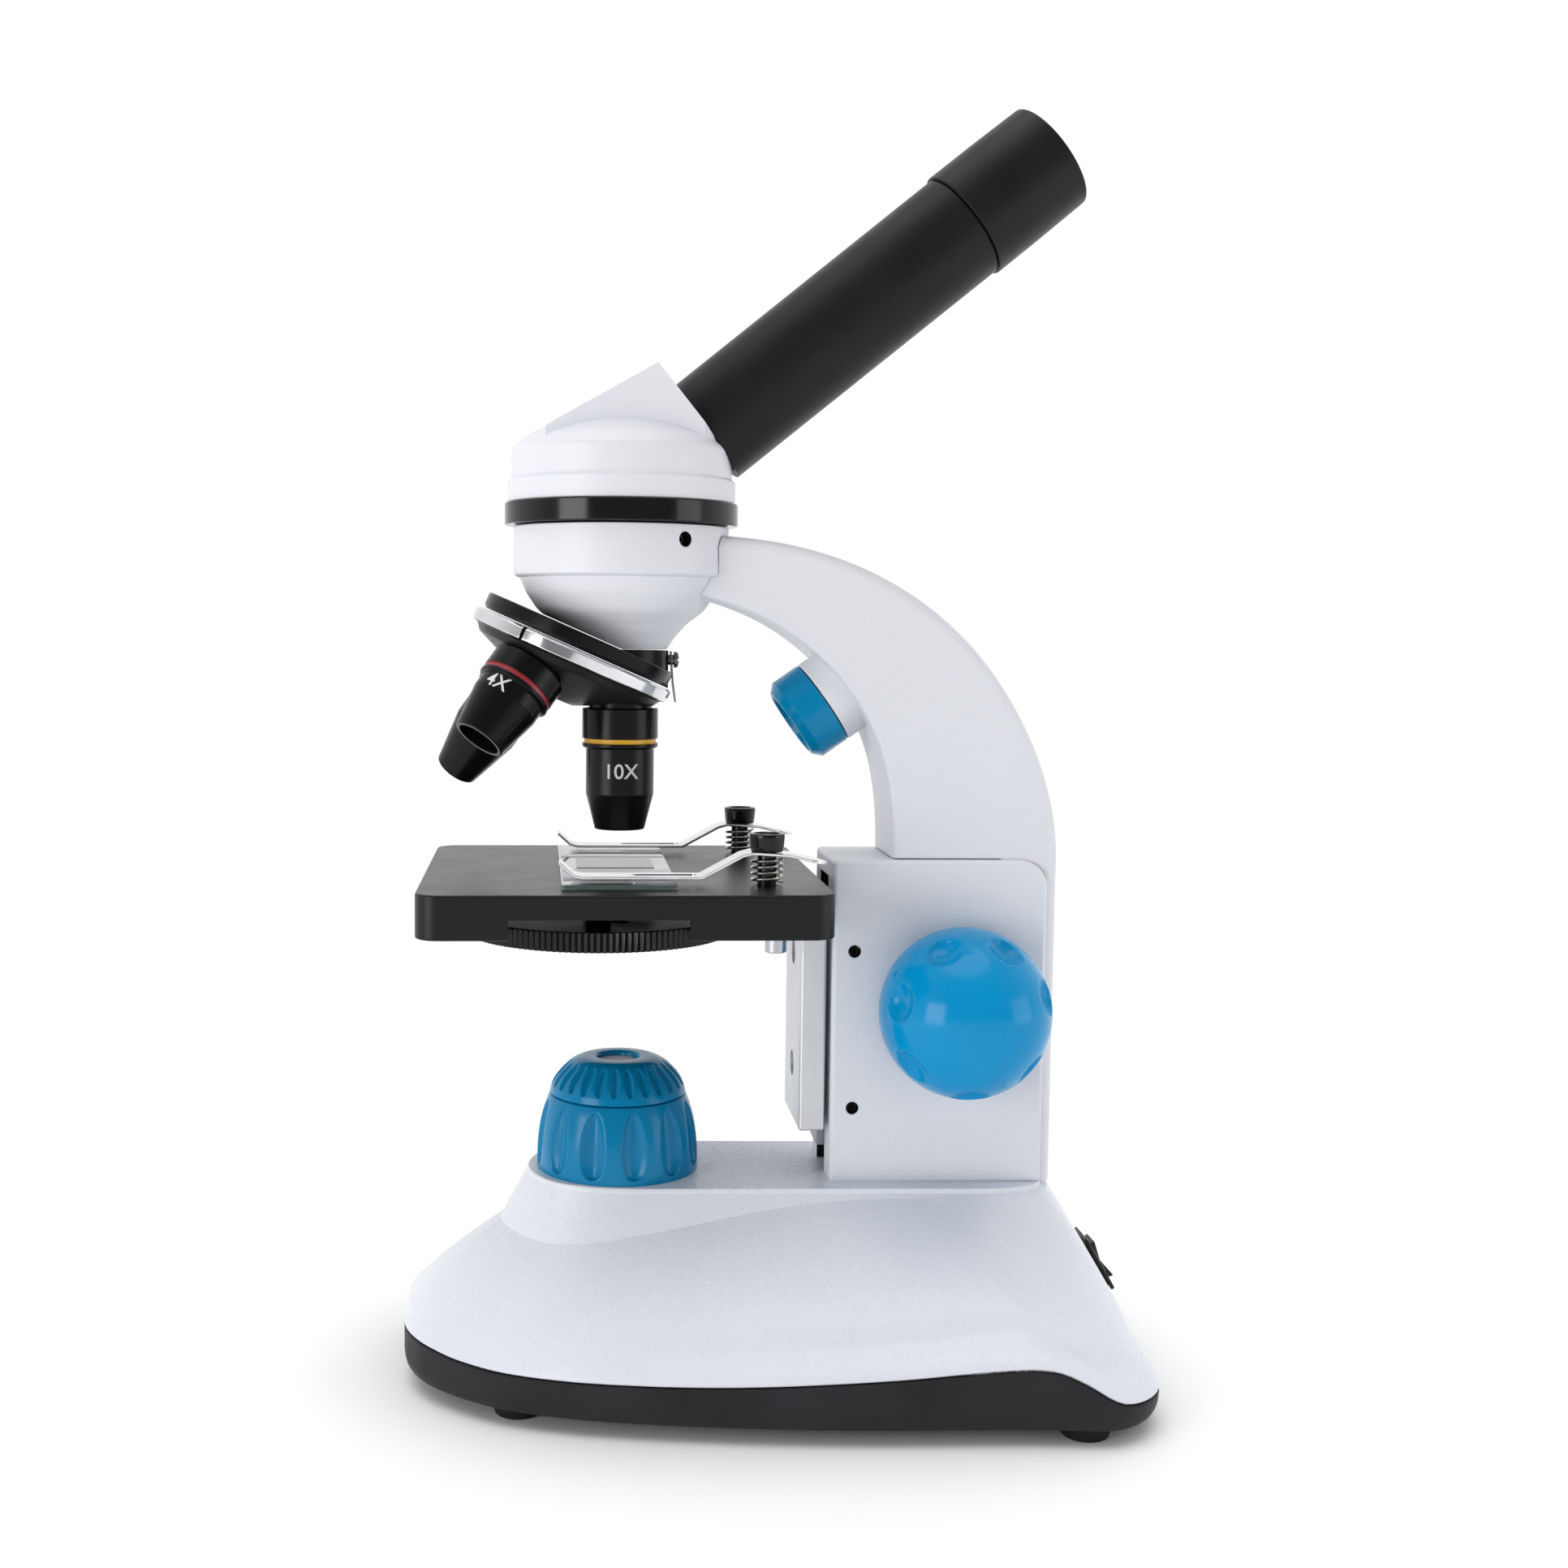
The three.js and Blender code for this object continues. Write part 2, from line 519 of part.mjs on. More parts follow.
function addNosepiece() {
  const { apex, tilt, plate: plateRadius, rim, face, shoulder } = NOSE;
  const nose = new THREE.Group();
  nose.position.z = apex;
  nose.rotation.y = rad(tilt);
  works.add(nose);
  const turret = new THREE.Group();
  nose.add(turret);

  const disc = turned([
    [0, -face + GAP], [21.4, -face + GAP], [plateRadius, -face + 1], [plateRadius, -face + 4], [0, -face + 4],
  ]);
  const wedge = inNose(rod(11.2, 42, HEAD.foot - GAP, MEDIUM));
  const below = rod(40, -60, -face + GAP, 8);
  const lightHole = inNose(rod(5.5, 0, 90, SMALL));
  const screwHole = inNose(rod(1.5, 5, 20, SMALL).rotateY(Math.PI / 2).translate(0, 0, 49.2));
  add("nosepiece_plate", cut(join(disc, wedge), below, lightHole, screwHole), BLACK, nose);
  const leafSide = new THREE.Shape();
  leafSide.moveTo(11.55, 51.2);
  leafSide.lineTo(11.9, 51.2);
  leafSide.lineTo(13, 39.3);
  leafSide.lineTo(12.65, 39.3);
  const leaf = cut(slab(leafSide, 2.4), rod(1.5, 5, 20, SMALL).rotateY(Math.PI / 2).translate(0, 0, 49.2));
  add("detent_spring", inNose(leaf), STEEL, nose);
  const pan = [[0, 7], [1.2, 7], [1.2, 12.6], [1.9, 12.6], [1.7, 13.6], [0, 13.9]];
  add("detent_screw", inNose(turned(pan, SMALL).rotateY(Math.PI / 2).translate(0, 0, 49.2)), STEEL, nose);

  // The cone under the rim clears each objective's flat shoulder by a gap.
  const cone = (r) => (GAP - shoulder + r * Math.sin(rad(tilt))) / Math.cos(rad(tilt));
  const wheel = turned([
    [0, cone(5)], [5, cone(5)], [21.8, cone(21.8)], [23, -face - 3.4], [rim, -face - 2.8], [rim, -face - 0.6],
    [rim - 0.6, -face], [0, -face],
  ]);
  const seats = [0, 1, 2].map((k) => nestAxis(rod(7.7, -60, 0, MEDIUM), k));
  add("turret", cut(wheel, ...seats), CHROME, turret);

  // Length under the shoulder, groove of the colour band, start of the taper, tip radius, tip bore.
  const objectives = {
    "10x": [28.6, 7.2, 20.2, 5.85, 4.4],
    "40x": [33.6, 7.2, 20.2, 5.3, 3.6],
    "4x": [20.6, 5, 10.4, 6.1, 5],
  };
  Object.entries(objectives).forEach(([name, [length, band, taper, tip, bore]], k) => {
    const at = (z) => -shoulder - z;
    const barrel = turned(
      [
        [3, at(length - 3)], [bore, at(length - 3)], [bore, at(length)], [tip, at(length)], [8, at(taper)],
        [8, at(band + 2.2)], [8.9, at(band + 2)], [8.9, at(band + 1.1)], [8.5, at(band + 1)],
        [8.5, at(band + 0.1)], [8.9, at(band)], [8.9, at(0)], [7.4, at(0)], [7.4, at(-5.2)], [6, at(-5.2)],
        [6, at(3)], [3, at(length - 7)],
      ],
      MEDIUM, true,
    );
    add(`objective_${name}`, nestAxis(barrel, k), BLACK, turret);
    const glass = rod(2.7, at(length - 3.3), at(length - 6), SMALL);
    add(`objective_${name}_lens`, nestAxis(glass, k), GLASS, turret);
  });
}

// ---------- stage ----------
function addStage() {
  const { halfX, halfY, thick, skin, wall, hole, screwX, screwY } = STAGE;
  const outside = plate(roundedRectangle(-halfX, -halfY, halfX, halfY, 8), -thick, 0, 6);
  const under = roundedRectangle(-halfX + wall, -halfY + wall, halfX - wall, halfY - wall, 5.4);
  const hollow = plate(under, -thick - 1, -skin, 4);
  const notch = box(-25.2, -halfY - 1, -thick - 1, 13.7, -halfY + wall + 1, -5.3);
  const light = rod(hole, -thick, 1, MEDIUM);
  const posts = [-1, 1].map((s) => rod(2.4, -thick, 1, SMALL).translate(POST.x, s * POST.y, 0));
  const pivot = rod(3, -8, -skin + 0.2, SMALL).translate(DISC.x, DISC.y, 0);
  const pivotHole = rod(1, -9, -4, SMALL).translate(DISC.x, DISC.y, 0);
  const bosses = [-1, 1].map((s) => rod(4.2, -thick, -skin + 0.2, SMALL).translate(screwX, s * screwY, 0));
  const threads = [-1, 1].map((s) => rod(1.6, -thick - 1, -4, SMALL).translate(screwX, s * screwY, 0));
  const shell = cut(outside, hollow, notch, light, ...posts);
  add("stage_plate", cut(join(shell, pivot, ...bosses), pivotHole, ...threads), BLACK);

  const { front, back, halfWidth, top, foot, shelf } = BRACKET;
  const upright = box(front, -halfWidth, foot, back, halfWidth, top);
  const flange = box(shelf, -29, top - 2.5, front + 1, 29, top);
  const groove = box(BAR.front - GAP, -BAR.neck - GAP, foot - 1, back + 1, BAR.neck + GAP, 0);
  const holes = [-20, -47].map((z) => rod(1.9, 0, 10, SMALL).rotateY(Math.PI / 2).translate(front - 1, 0, z));
  const ways = [-1, 1].map((s) => rod(1.6, top - 4, 0, SMALL).translate(screwX, s * screwY, 0));
  add("stage_bracket", cut(join(upright, flange), groove, ...holes, ...ways), ALUMINIUM);
  for (const [name, s] of [["near", -1], ["far", 1]]) {
    const under = top - 2.5 - GAP;
    const profile = [[0, under - 3], [2.1, under - 3], [2.4, under - 2.7], [2.4, under], [1.3, under], [1.3, -4.5], [0, -4.5]];
    const socket = rod(1.2, under - 4, under - 1.4, 6);
    const screw = cut(turned(profile, SMALL), socket);
    add(`stage_screw_${name}`, screw.translate(screwX, s * screwY, 0), CHROME);
  }

  add("specimen_slide", box(-13.4, -38.1, GAP / 2, 12, 38.1, 1.15), GLASS);
}

function addApertureDisc() {
  const { x, y, radius, top, thick } = DISC;
  const orbit = Math.hypot(x, y);
  const start = Math.atan2(-y, -x);
  const wheel = turned([
    [0, top - thick + 1.6], [radius - 4, top - thick + 1.6], [radius - 4, top - thick], [radius, top - thick],
    [radius, top], [0, top],
  ]);
  const holes = [6.5, 5, 3.6, 2.4, 1.4].map((r, k) => {
    const a = start + (2 * Math.PI * k) / 5;
    return rod(r, -20, 0, SMALL).translate(orbit * Math.cos(a), orbit * Math.sin(a), 0);
  });
  add("aperture_disc", cut(wheel, ...holes, rod(1.2, -20, 0, SMALL)), GLOSS_BLACK).position.set(x, y, 0);
  const under = top - thick + 1.6 - GAP;
  const pin = [[0, under - 1.4], [2.4, under - 1.4], [2.6, under], [0.8, under], [0.8, -4.5], [0, -4.5]];
  add("disc_screw", turned(pin, SMALL).translate(x, y, 0), STEEL);
}

// A spring clip from its curled tip to its tail, its post and its coil spring.
function addClips() {
  for (const [name, s] of [["near", -1], ["far", 1]]) {
    const clip = new THREE.Group();
    clip.position.set(POST.x, s * POST.y, 0);
    works.add(clip);
    const spine = [
      [-46.1, 5], [-43, 2.4], [-41, 1.7], [-14.6, 1.7], [-13, 2.3], [-5.6, 6.6], [-3.4, 7.2], [4.5, 6.7], [13.2, 4.7],
    ];
    const side = new THREE.Shape();
    spine.forEach(([x, z], i) => (i ? side.lineTo(x, z) : side.moveTo(x, z)));
    [...spine].reverse().forEach(([x, z]) => side.lineTo(x, z + 0.6));
    const slot = plate(roundedRectangle(-30, -1.5, -15.5, 1.5, 1.49), 0, 5, 4);
    const strip = cut(slab(side, 4), rod(2.5, 0, 12, SMALL), slot);
    add(`clip_${name}`, strip, CHROME, clip);
    const post = turned([
      [0, -8.6], [2.1, -8.6], [2.1, 8.2], [3.7, 8.2], [3.9, 9], [3.9, 10.8], [3.4, 11.6], [0, 11.6],
    ], SMALL);
    add(`clip_post_${name}`, post, GLOSS_BLACK, clip);
    add(`clip_spring_${name}`, coil(3.3, 0.35, 0.7, 6, 4), STEEL, clip);
  }
}

// A round-wire coil spring about +Z, between two heights.
function coil(radius, wire, from, to, turns) {
  class Helix extends THREE.Curve {
    getPoint(t, target = new THREE.Vector3()) {
      const a = 2 * Math.PI * turns * t;
      return target.set(radius * Math.cos(a), radius * Math.sin(a), from + (to - from) * t);
    }
  }
  const section = new THREE.Shape();
  section.absarc(0, 0, wire, 0, 2 * Math.PI);
  const settings = { steps: Math.round(turns * 9), extrudePath: new Helix(), curveSegments: 2 };
  return new THREE.ExtrudeGeometry(section, settings);
}

// ---------- focus ----------
function addSlide() {
  const { front, shoulder, back, neck, lip, foot, top } = BAR;
  const bar = join(
    box(front, -neck, foot, shoulder + 0.5, neck, top),
    box(shoulder, -neck - lip, foot, back, neck + lip, top),
  );
  add("slide_bar", bar, STEEL);

  const { x, z, teeth, module: m, pressure, addendum, backlash } = GEAR;
  const pitchX = x - (teeth * m) / 2;
  const step = Math.PI * m;
  const lean = Math.tan(rad(pressure));
  const half = step / 4 - backlash / 4;
  const side = new THREE.Shape();
  const root = pitchX - 1.2 * m;
  side.moveTo(back + GAP, -63);
  side.lineTo(root, -63);
  for (let k = -10; k <= 5; k++) {
    const middle = z + (k + 0.5) * step;
    const wide = half + 1.2 * m * lean;
    const thin = half - addendum * m * lean;
    side.lineTo(root, middle - wide);
    side.lineTo(pitchX + addendum * m, middle - thin);
    side.lineTo(pitchX + addendum * m, middle + thin);
    side.lineTo(root, middle + wide);
  }
  side.lineTo(root, -10.5);
  side.lineTo(back + GAP, -10.5);
  add("rack", slab(side, 4), BRASS);
}

// Half the angle that a tooth of the pinion spans at a radius.
function toothHalfAngle(r) {
  const { teeth, module: m, pressure, backlash } = GEAR;
  const pitch = (teeth * m) / 2;
  const base = pitch * Math.cos(rad(pressure));
  const involute = (a) => Math.tan(a) - a;
  const at = Math.acos(Math.min(1, base / Math.max(r, base)));
  const half = (Math.PI * m) / 4 - backlash / 4;
  return half / pitch + involute(rad(pressure)) - involute(at);
}

function addPinion() {
  const { x, z, teeth, module: m, addendum } = GEAR;
  const pitch = (teeth * m) / 2;
  const radii = [pitch - 1.2 * m, pitch - 0.6 * m, pitch, pitch + 0.45 * m, pitch + addendum * m];
  const shape = new THREE.Shape();
  for (let k = 0; k < teeth; k++) {
    const middle = Math.PI + (2 * Math.PI * k) / teeth;
    const flank = radii.map((r) => [r, middle - toothHalfAngle(r)]);
    const other = radii.map((r) => [r, middle + toothHalfAngle(r)]).reverse();
    for (const [r, a] of [...flank, ...other]) {
      const point = [r * Math.cos(a), r * Math.sin(a)];
      if (shape.curves.length || k || r !== radii[0]) shape.lineTo(...point);
      else shape.moveTo(...point);
    }
  }
  const gear = slab(shape, 5.5);
  const shaft = rod(2.8, -41, 41, SMALL).rotateX(Math.PI / 2);
  const pinion = new THREE.Group();
  pinion.position.set(x, 0, z);
  works.add(pinion);
  add("pinion_shaft", join(gear, shaft), STEEL, pinion);
  for (const [name, s] of [["near", -1], ["far", 1]]) {
    const { radius, depth, bore } = KNOB;
    const dome = turned([
      [0, bore], [3.1, bore], [3.1, 0], [14.5, 0], [17.4, 2], [19, 5.5], [radius, 9.5], [19, 14], [17.6, 18.5],
      [15, 22.8], [11.2, 26.4], [6.6, 28.9], [2.6, depth - 0.2], [0, depth],
    ]);
    const knob = add(`knob_${name}`, dome, KNOB_BLUE, pinion);
    knob.rotation.x = s < 0 ? Math.PI / 2 : -Math.PI / 2;
    knob.position.y = s * (HOUSING.halfWidth + 0.8);
  }
}

addBase();
addSwitch();
addBaseLamp();
addArm();
addTopLamp();
addHead();
addEyepiece();
addNosepiece();
addStage();
addApertureDisc();
addClips();
addSlide();
addPinion();

const microscope = new THREE.Group();
microscope.add(works);
export default microscope;
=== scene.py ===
"""Blender scene of the student microscope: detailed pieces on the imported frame's bodies."""
import math

import bmesh
import bpy
import numpy as np
from mathutils import Matrix, Vector


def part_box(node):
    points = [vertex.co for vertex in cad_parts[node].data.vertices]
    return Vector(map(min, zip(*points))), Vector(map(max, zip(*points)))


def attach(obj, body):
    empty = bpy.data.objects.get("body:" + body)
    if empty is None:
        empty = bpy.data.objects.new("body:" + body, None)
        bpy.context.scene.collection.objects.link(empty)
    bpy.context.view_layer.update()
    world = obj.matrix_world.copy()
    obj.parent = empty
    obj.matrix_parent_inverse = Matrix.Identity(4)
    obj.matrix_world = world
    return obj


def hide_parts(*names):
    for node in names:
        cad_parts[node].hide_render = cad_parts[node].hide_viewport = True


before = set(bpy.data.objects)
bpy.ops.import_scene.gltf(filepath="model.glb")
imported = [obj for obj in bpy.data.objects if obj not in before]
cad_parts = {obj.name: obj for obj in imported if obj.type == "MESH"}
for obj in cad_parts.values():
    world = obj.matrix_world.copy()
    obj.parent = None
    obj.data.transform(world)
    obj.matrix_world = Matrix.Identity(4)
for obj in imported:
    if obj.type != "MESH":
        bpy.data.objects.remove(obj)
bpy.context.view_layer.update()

# ---------- local millimetres, from the optical axis at the stage's top face ----------
LAMP_LO, LAMP_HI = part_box("lamp_collar")
AXIS_X = (LAMP_LO[0] + LAMP_HI[0]) / 2
STAGE_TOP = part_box("stage_plate")[1][2]
GROUND = -1000 * STAGE_TOP
MM = Matrix.Scale(0.001, 4)
WORLD = Matrix.Translation((AXIS_X, 0, STAGE_TOP)) @ MM


def turn(axis, degrees):
    return Matrix.Rotation(math.radians(degrees), 4, axis)


def shift(x, y, z):
    return Matrix.Translation((x, y, z))


HOME = Matrix.Identity(4)
NOSE_TILT = 23.5
PIVOT_Z = 76.4  # where the nosepiece's axis meets the optical axis
DETENT_Z = 49.2
TUBE = shift(20, 0, 102.5) @ turn("Y", 51)
NOSE = shift(0, 0, PIVOT_Z) @ turn("Y", NOSE_TILT)
TOP_LAMP = shift(47.85, 0, 39.5) @ turn("Y", -125.1)
SWITCH = shift(115.9, 0, -96.6) @ turn("Y", 60) @ shift(0, 0, 0.35)
SHAFT_X, SHAFT_Z = 78, -30
SCREW_X, SCREW_Y = 34.8, 22  # the two screws that hold the stage on its bracket
POST_X, POST_Y = 31.6, 30  # the clips' posts
DISC_X, DISC_Y = -5.3, -14.6  # the aperture disc's pivot
GRUB_X, GRUB_Z = 54.2, (-17.7, -54.6)  # the housing's two grub-screw holes
CHEEK = 14.3  # half the focus housing's width
SIDES = (("near", -1), ("far", 1))


# ---------- materials ----------
class Look:
    """A Principled material with procedural colour, roughness and relief."""

    def __init__(self, name, color, rough, metal=0.0, **more):
        self.mat = bpy.data.materials.new(name)
        self.mat.use_nodes = True
        self.tree = self.mat.node_tree
        self.bsdf = self.tree.nodes["Principled BSDF"]
        self.set("Base Color", (*color, 1))
        self.set("Roughness", rough)
        self.set("Metallic", metal)
        for key, value in more.items():
            self.set(key.replace("_", " "), value)
        self.color = color
        self.coords = self.tree.nodes.new("ShaderNodeTexCoord").outputs["Object"]
        self.height = None

    def set(self, socket, value):
        self.bsdf.inputs[socket].default_value = value

    def node(self, kind, **values):
        made = self.tree.nodes.new(kind)
        for key, value in values.items():
            key = key.replace("_", " ")
            if key in made.inputs:
                made.inputs[key].default_value = value
            else:
                setattr(made, key.replace(" ", "_"), value)
        return made

    def link(self, a, b):
        self.tree.links.new(a, b)

    def noise(self, scale, detail=3.0, stretch=None, rough=0.55):
        made = self.node("ShaderNodeTexNoise", Scale=scale, Detail=detail, Roughness=rough)
        source = self.coords
        if stretch:
            mapping = self.node("ShaderNodeMapping", Scale=stretch)
            self.link(source, mapping.inputs["Vector"])
            source = mapping.outputs["Vector"]
        self.link(source, made.inputs["Vector"])
        return made.outputs["Fac"]

    def remap(self, value, lo, hi, a, b):
        made = self.node("ShaderNodeMapRange", From_Min=lo, From_Max=hi, To_Min=a, To_Max=b)
        self.link(value, made.inputs["Value"])
        return made.outputs["Result"]

    def bump(self, value, strength, distance):
        """Adds relief of a distance in metres on top of any before it."""
        made = self.node("ShaderNodeBump", Strength=strength, Distance=distance)
        self.link(value, made.inputs["Height"])
        if self.height:
            self.link(self.height, made.inputs["Normal"])
        self.height = made.outputs["Normal"]
        self.link(self.height, self.bsdf.inputs["Normal"])
        return self

    def blotch(self, value, other, lo=0.35, hi=0.65):
        """Mixes the base colour with another one where a pattern is high."""
        mix = self.node("ShaderNodeMix", data_type="RGBA")
        mix.inputs["A"].default_value = (*self.color, 1)
        mix.inputs["B"].default_value = (*other, 1)
        self.link(self.remap(value, lo, hi, 0, 1), mix.inputs["Factor"])
        source = self.bsdf.inputs["Base Color"]
        if source.is_linked:
            self.link(source.links[0].from_socket, mix.inputs["A"])
        self.link(mix.outputs["Result"], source)
        return self

    def vary(self, value, low, high, lo=0.3, hi=0.7):
        """Lets the roughness follow a pattern."""
        self.link(self.remap(value, lo, hi, low, high), self.bsdf.inputs["Roughness"])
        return self


def white_paint(name, color, grain, sparkle, relief):
    """Powder coat: fine grain over a slight orange peel, smoother spots and faint toning."""
    look = Look(name, color, 0.42, Specular_IOR_Level=0.5)
    look.bump(look.noise(grain, 2.0), relief, 0.00016)
    look.bump(look.noise(420, 2.0), 0.12, 0.0004)
    look.vary(look.noise(grain * 0.7, 2.0), 0.42 - sparkle, 0.55)
    look.blotch(look.noise(30, 3.0), tuple(c * 0.965 for c in color), 0.3, 0.8)
    return name, look.mat


def black_finish(name, color, rough, grain, relief, spread=0.08, shine=0.16):
    look = Look(name, color, rough, Specular_IOR_Level=shine)
    look.bump(look.noise(grain, 3.0), relief, 0.0001)
    look.vary(look.noise(140, 4.0), rough - spread, rough + spread)
    look.blotch(look.noise(60, 3.0), tuple(c * 1.35 for c in color))
    return name, look.mat


def plastic(name, color, deep, rough, **more):
    look = Look(name, color, rough, **more)
    look.bump(look.noise(900, 2.0), 0.06, 0.0001)
    look.bump(look.noise(120, 2.0), 0.05, 0.0004)
    look.vary(look.noise(160, 4.0), rough * 0.8, rough * 1.35)
    look.blotch(look.noise(45, 3.0), deep)
    return name, look.mat


def metal(name, color, rough, stretch=None, grain=900, relief=0.1, spread=0.25):
    look = Look(name, color, rough, 1.0)
    look.bump(look.noise(grain, 3.0, stretch), relief, 0.00005)
    smooth, coarse = rough * (1 - spread), rough * (1 + 1.6 * spread)
    look.vary(look.noise(grain * 0.4, 3.0, stretch), smooth, coarse)
    look.blotch(look.noise(90, 3.0), tuple(c * (1 - 0.6 * spread) for c in color))
    return name, look.mat


def clear_glass(name, color, rough=0.02, transmission=1.0):
    look = Look(name, color, rough, Transmission_Weight=transmission, IOR=1.5)
    look.vary(look.noise(80, 3.0), rough, rough + 0.05)
    return name, look.mat


MATS = dict([
    white_paint("base_white", (0.715, 0.735, 0.795), 1900, 0.25, 0.6),
    white_paint("white", (0.70, 0.713, 0.755), 1700, 0.1, 0.5),
    black_finish("trim", (0.017, 0.016, 0.019), 0.5, 2600, 0.6),
    black_finish("stage_black", (0.005, 0.005, 0.0055), 0.31, 3200, 0.3, 0.02, 0.22),
    black_finish("tube_black", (0.008, 0.008, 0.010), 0.38, 5000, 0.2, 0.04),
    black_finish("barrel_black", (0.003, 0.003, 0.0035), 0.24, 3000, 0.05, 0.03),
    black_finish("satin_black_and_notch_shade", (0.012, 0.012, 0.013), 0.36, 3500, 0.3, 0.04),
    black_finish("gloss_black", (0.003, 0.003, 0.0035), 0.14, 1200, 0.03, 0.03, 0.3),
    black_finish("rubber", (0.012, 0.012, 0.012), 0.7, 2500, 0.4),
    plastic("blue", (0.0, 0.205, 0.41), (0.0, 0.185, 0.38), 0.17, Specular_IOR_Level=0.2),
    plastic("knob_blue", (0.0, 0.27, 0.56), (0.0, 0.245, 0.52), 0.16, Specular_IOR_Level=0.2,
            Subsurface_Weight=0.1, Subsurface_Radius=(0.001, 0.003, 0.006)),
    metal("chrome", (0.72, 0.73, 0.75), 0.1),
    metal("steel", (0.5, 0.51, 0.53), 0.3, (1, 1, 0.05)),
    metal("ground_steel", (0.26, 0.28, 0.31), 0.4, (1, 1, 0.05)),
    metal("spring_steel", (0.72, 0.70, 0.66), 0.22),
    metal("aluminium", (0.66, 0.67, 0.69), 0.5, None, 3200, 0.3, 0.07),
    metal("dark_steel", (0.16, 0.16, 0.17), 0.3),
    black_finish("shade", (0.004, 0.004, 0.004), 0.7, 2500, 0.3),
    clear_glass("edge_glass", (0.55, 0.75, 0.70), 0.05, 0.8),
    metal("brass", (0.72, 0.5, 0.22), 0.3),
    clear_glass("glass", (0.93, 0.97, 0.97)),
    plastic("frosted", (0.50, 0.53, 0.56), (0.44, 0.47, 0.50), 0.5),
    plastic("paper", (0.78, 0.79, 0.83), (0.74, 0.75, 0.79), 0.7),
    plastic("red", (0.30, 0.022, 0.03), (0.25, 0.02, 0.025), 0.35),
    plastic("yellow", (0.70, 0.40, 0.01), (0.6, 0.34, 0.01), 0.35),
    plastic("band_blue", (0.02, 0.09, 0.42), (0.02, 0.07, 0.36), 0.35),
    plastic("ink", (0.62, 0.63, 0.64), (0.56, 0.57, 0.58), 0.5),
    plastic("board", (0.01, 0.09, 0.03), (0.01, 0.06, 0.02), 0.4),
    plastic("sleeve", (0.03, 0.12, 0.04), (0.02, 0.09, 0.03), 0.3),
])


# ---------- mesh helpers, in local millimetres until make() ----------
def add(name, data):
    made = bpy.data.objects.new(name, data)
    bpy.context.scene.collection.objects.link(made)
    return made


def new_object(name, verts, faces):
    mesh = bpy.data.meshes.new(name)
    mesh.from_pydata([tuple(v) for v in verts], [], faces)
    made = add(name, mesh)
    edit = bmesh.new()
    edit.from_mesh(mesh)
    bmesh.ops.remove_doubles(edit, verts=edit.verts, dist=1e-5)
    bmesh.ops.recalc_face_normals(edit, faces=edit.faces)
    edit.to_mesh(mesh)
    edit.free()
    return made


def bake(made):
    """Applies every modifier of an object."""
    graph = bpy.context.evaluated_depsgraph_get()
    mesh = bpy.data.meshes.new_from_object(made.evaluated_get(graph))
    old = made.data
    made.modifiers.clear()
    made.data = mesh
    bpy.data.meshes.remove(old)
    return made


def combine(made, other, operation):
    tool = made.modifiers.new("tool", "BOOLEAN")
    tool.operation, tool.solver, tool.object = operation, "EXACT", other
    bake(made)
    bpy.data.objects.remove(other)
    return made


def carve(made, *tools):
    for tool in tools:
        combine(made, tool, "DIFFERENCE")
    return made


def weld(made, *others):
    for other in others:
        combine(made, other, "UNION")
    return made


def soften(made, width, segments=3, angle=35):
    bevel = made.modifiers.new("bevel", "BEVEL")
    bevel.width, bevel.segments = width, segments
    bevel.limit_method, bevel.angle_limit = "ANGLE", math.radians(angle)
    bevel.use_clamp_overlap = False
    return bake(made)


def move(made, matrix):
    made.data.transform(matrix)
    return made


def rounded(points, closed=True, steps=5):
    """A polyline whose corners (a, b, radius) are turned into arcs."""
    out, last = [], len(points) - 1
    for i, p in enumerate(points):
        radius = p[2] if len(p) > 2 else 0
        if not radius or (not closed and i in (0, last)):
            out.append(tuple(p[:2]))
            continue
        b = Vector(p[:2])
        before = Vector(points[i - 1][:2]) - b
        after = Vector(points[(i + 1) % len(points)][:2]) - b
        half = before.angle(after) / 2
        cut = min(radius / math.tan(half), 0.49 * before.length, 0.49 * after.length)
        before.normalize()
        after.normalize()
        radius = cut * math.tan(half)
        centre = b + (before + after).normalized() * radius / math.sin(half)
        start, end = b + before * cut - centre, b + after * cut - centre
        first = math.atan2(start.y, start.x)
        sweep = (math.atan2(end.y, end.x) - first + math.pi) % (2 * math.pi) - math.pi
        for k in range(steps + 1):
            a = first + sweep * k / steps
            out.append((centre.x + radius * math.cos(a), centre.y + radius * math.sin(a)))
    return out


def lathe(name, profile, sides=96, warp=None):
    """Turns (radius, height) points about Z. warp(radius, height, angle) may move each point."""
    verts, rings, faces = [], [], []
    for r, z in profile:
        if r < 1e-6:
            rings.append([len(verts)] * sides)
            verts.append((0, 0, z))
            continue
        rings.append(range(len(verts), len(verts) + sides))
        for k in range(sides):
            a = 2 * math.pi * k / sides
            rr, zz = warp(r, z, a) if warp else (r, z)
            verts.append((rr * math.cos(a), rr * math.sin(a), zz))
    closed = profile[0][0] > 1e-6 or profile[-1][0] > 1e-6
    for i in range(len(rings) - (0 if closed else 1)):
        low, high = rings[i], rings[(i + 1) % len(rings)]
        for k in range(sides):
            j = (k + 1) % sides
            face = [low[k], low[j], high[j], high[k]]
            face = [v for n, v in enumerate(face) if v not in face[:n]]
            if len(face) > 2:
                faces.append(face)
    return new_object(name, verts, faces)


def rod(name, radius, low, high, sides=48):
    return lathe(name, [(0, low), (radius, low), (radius, high), (0, high)], sides)


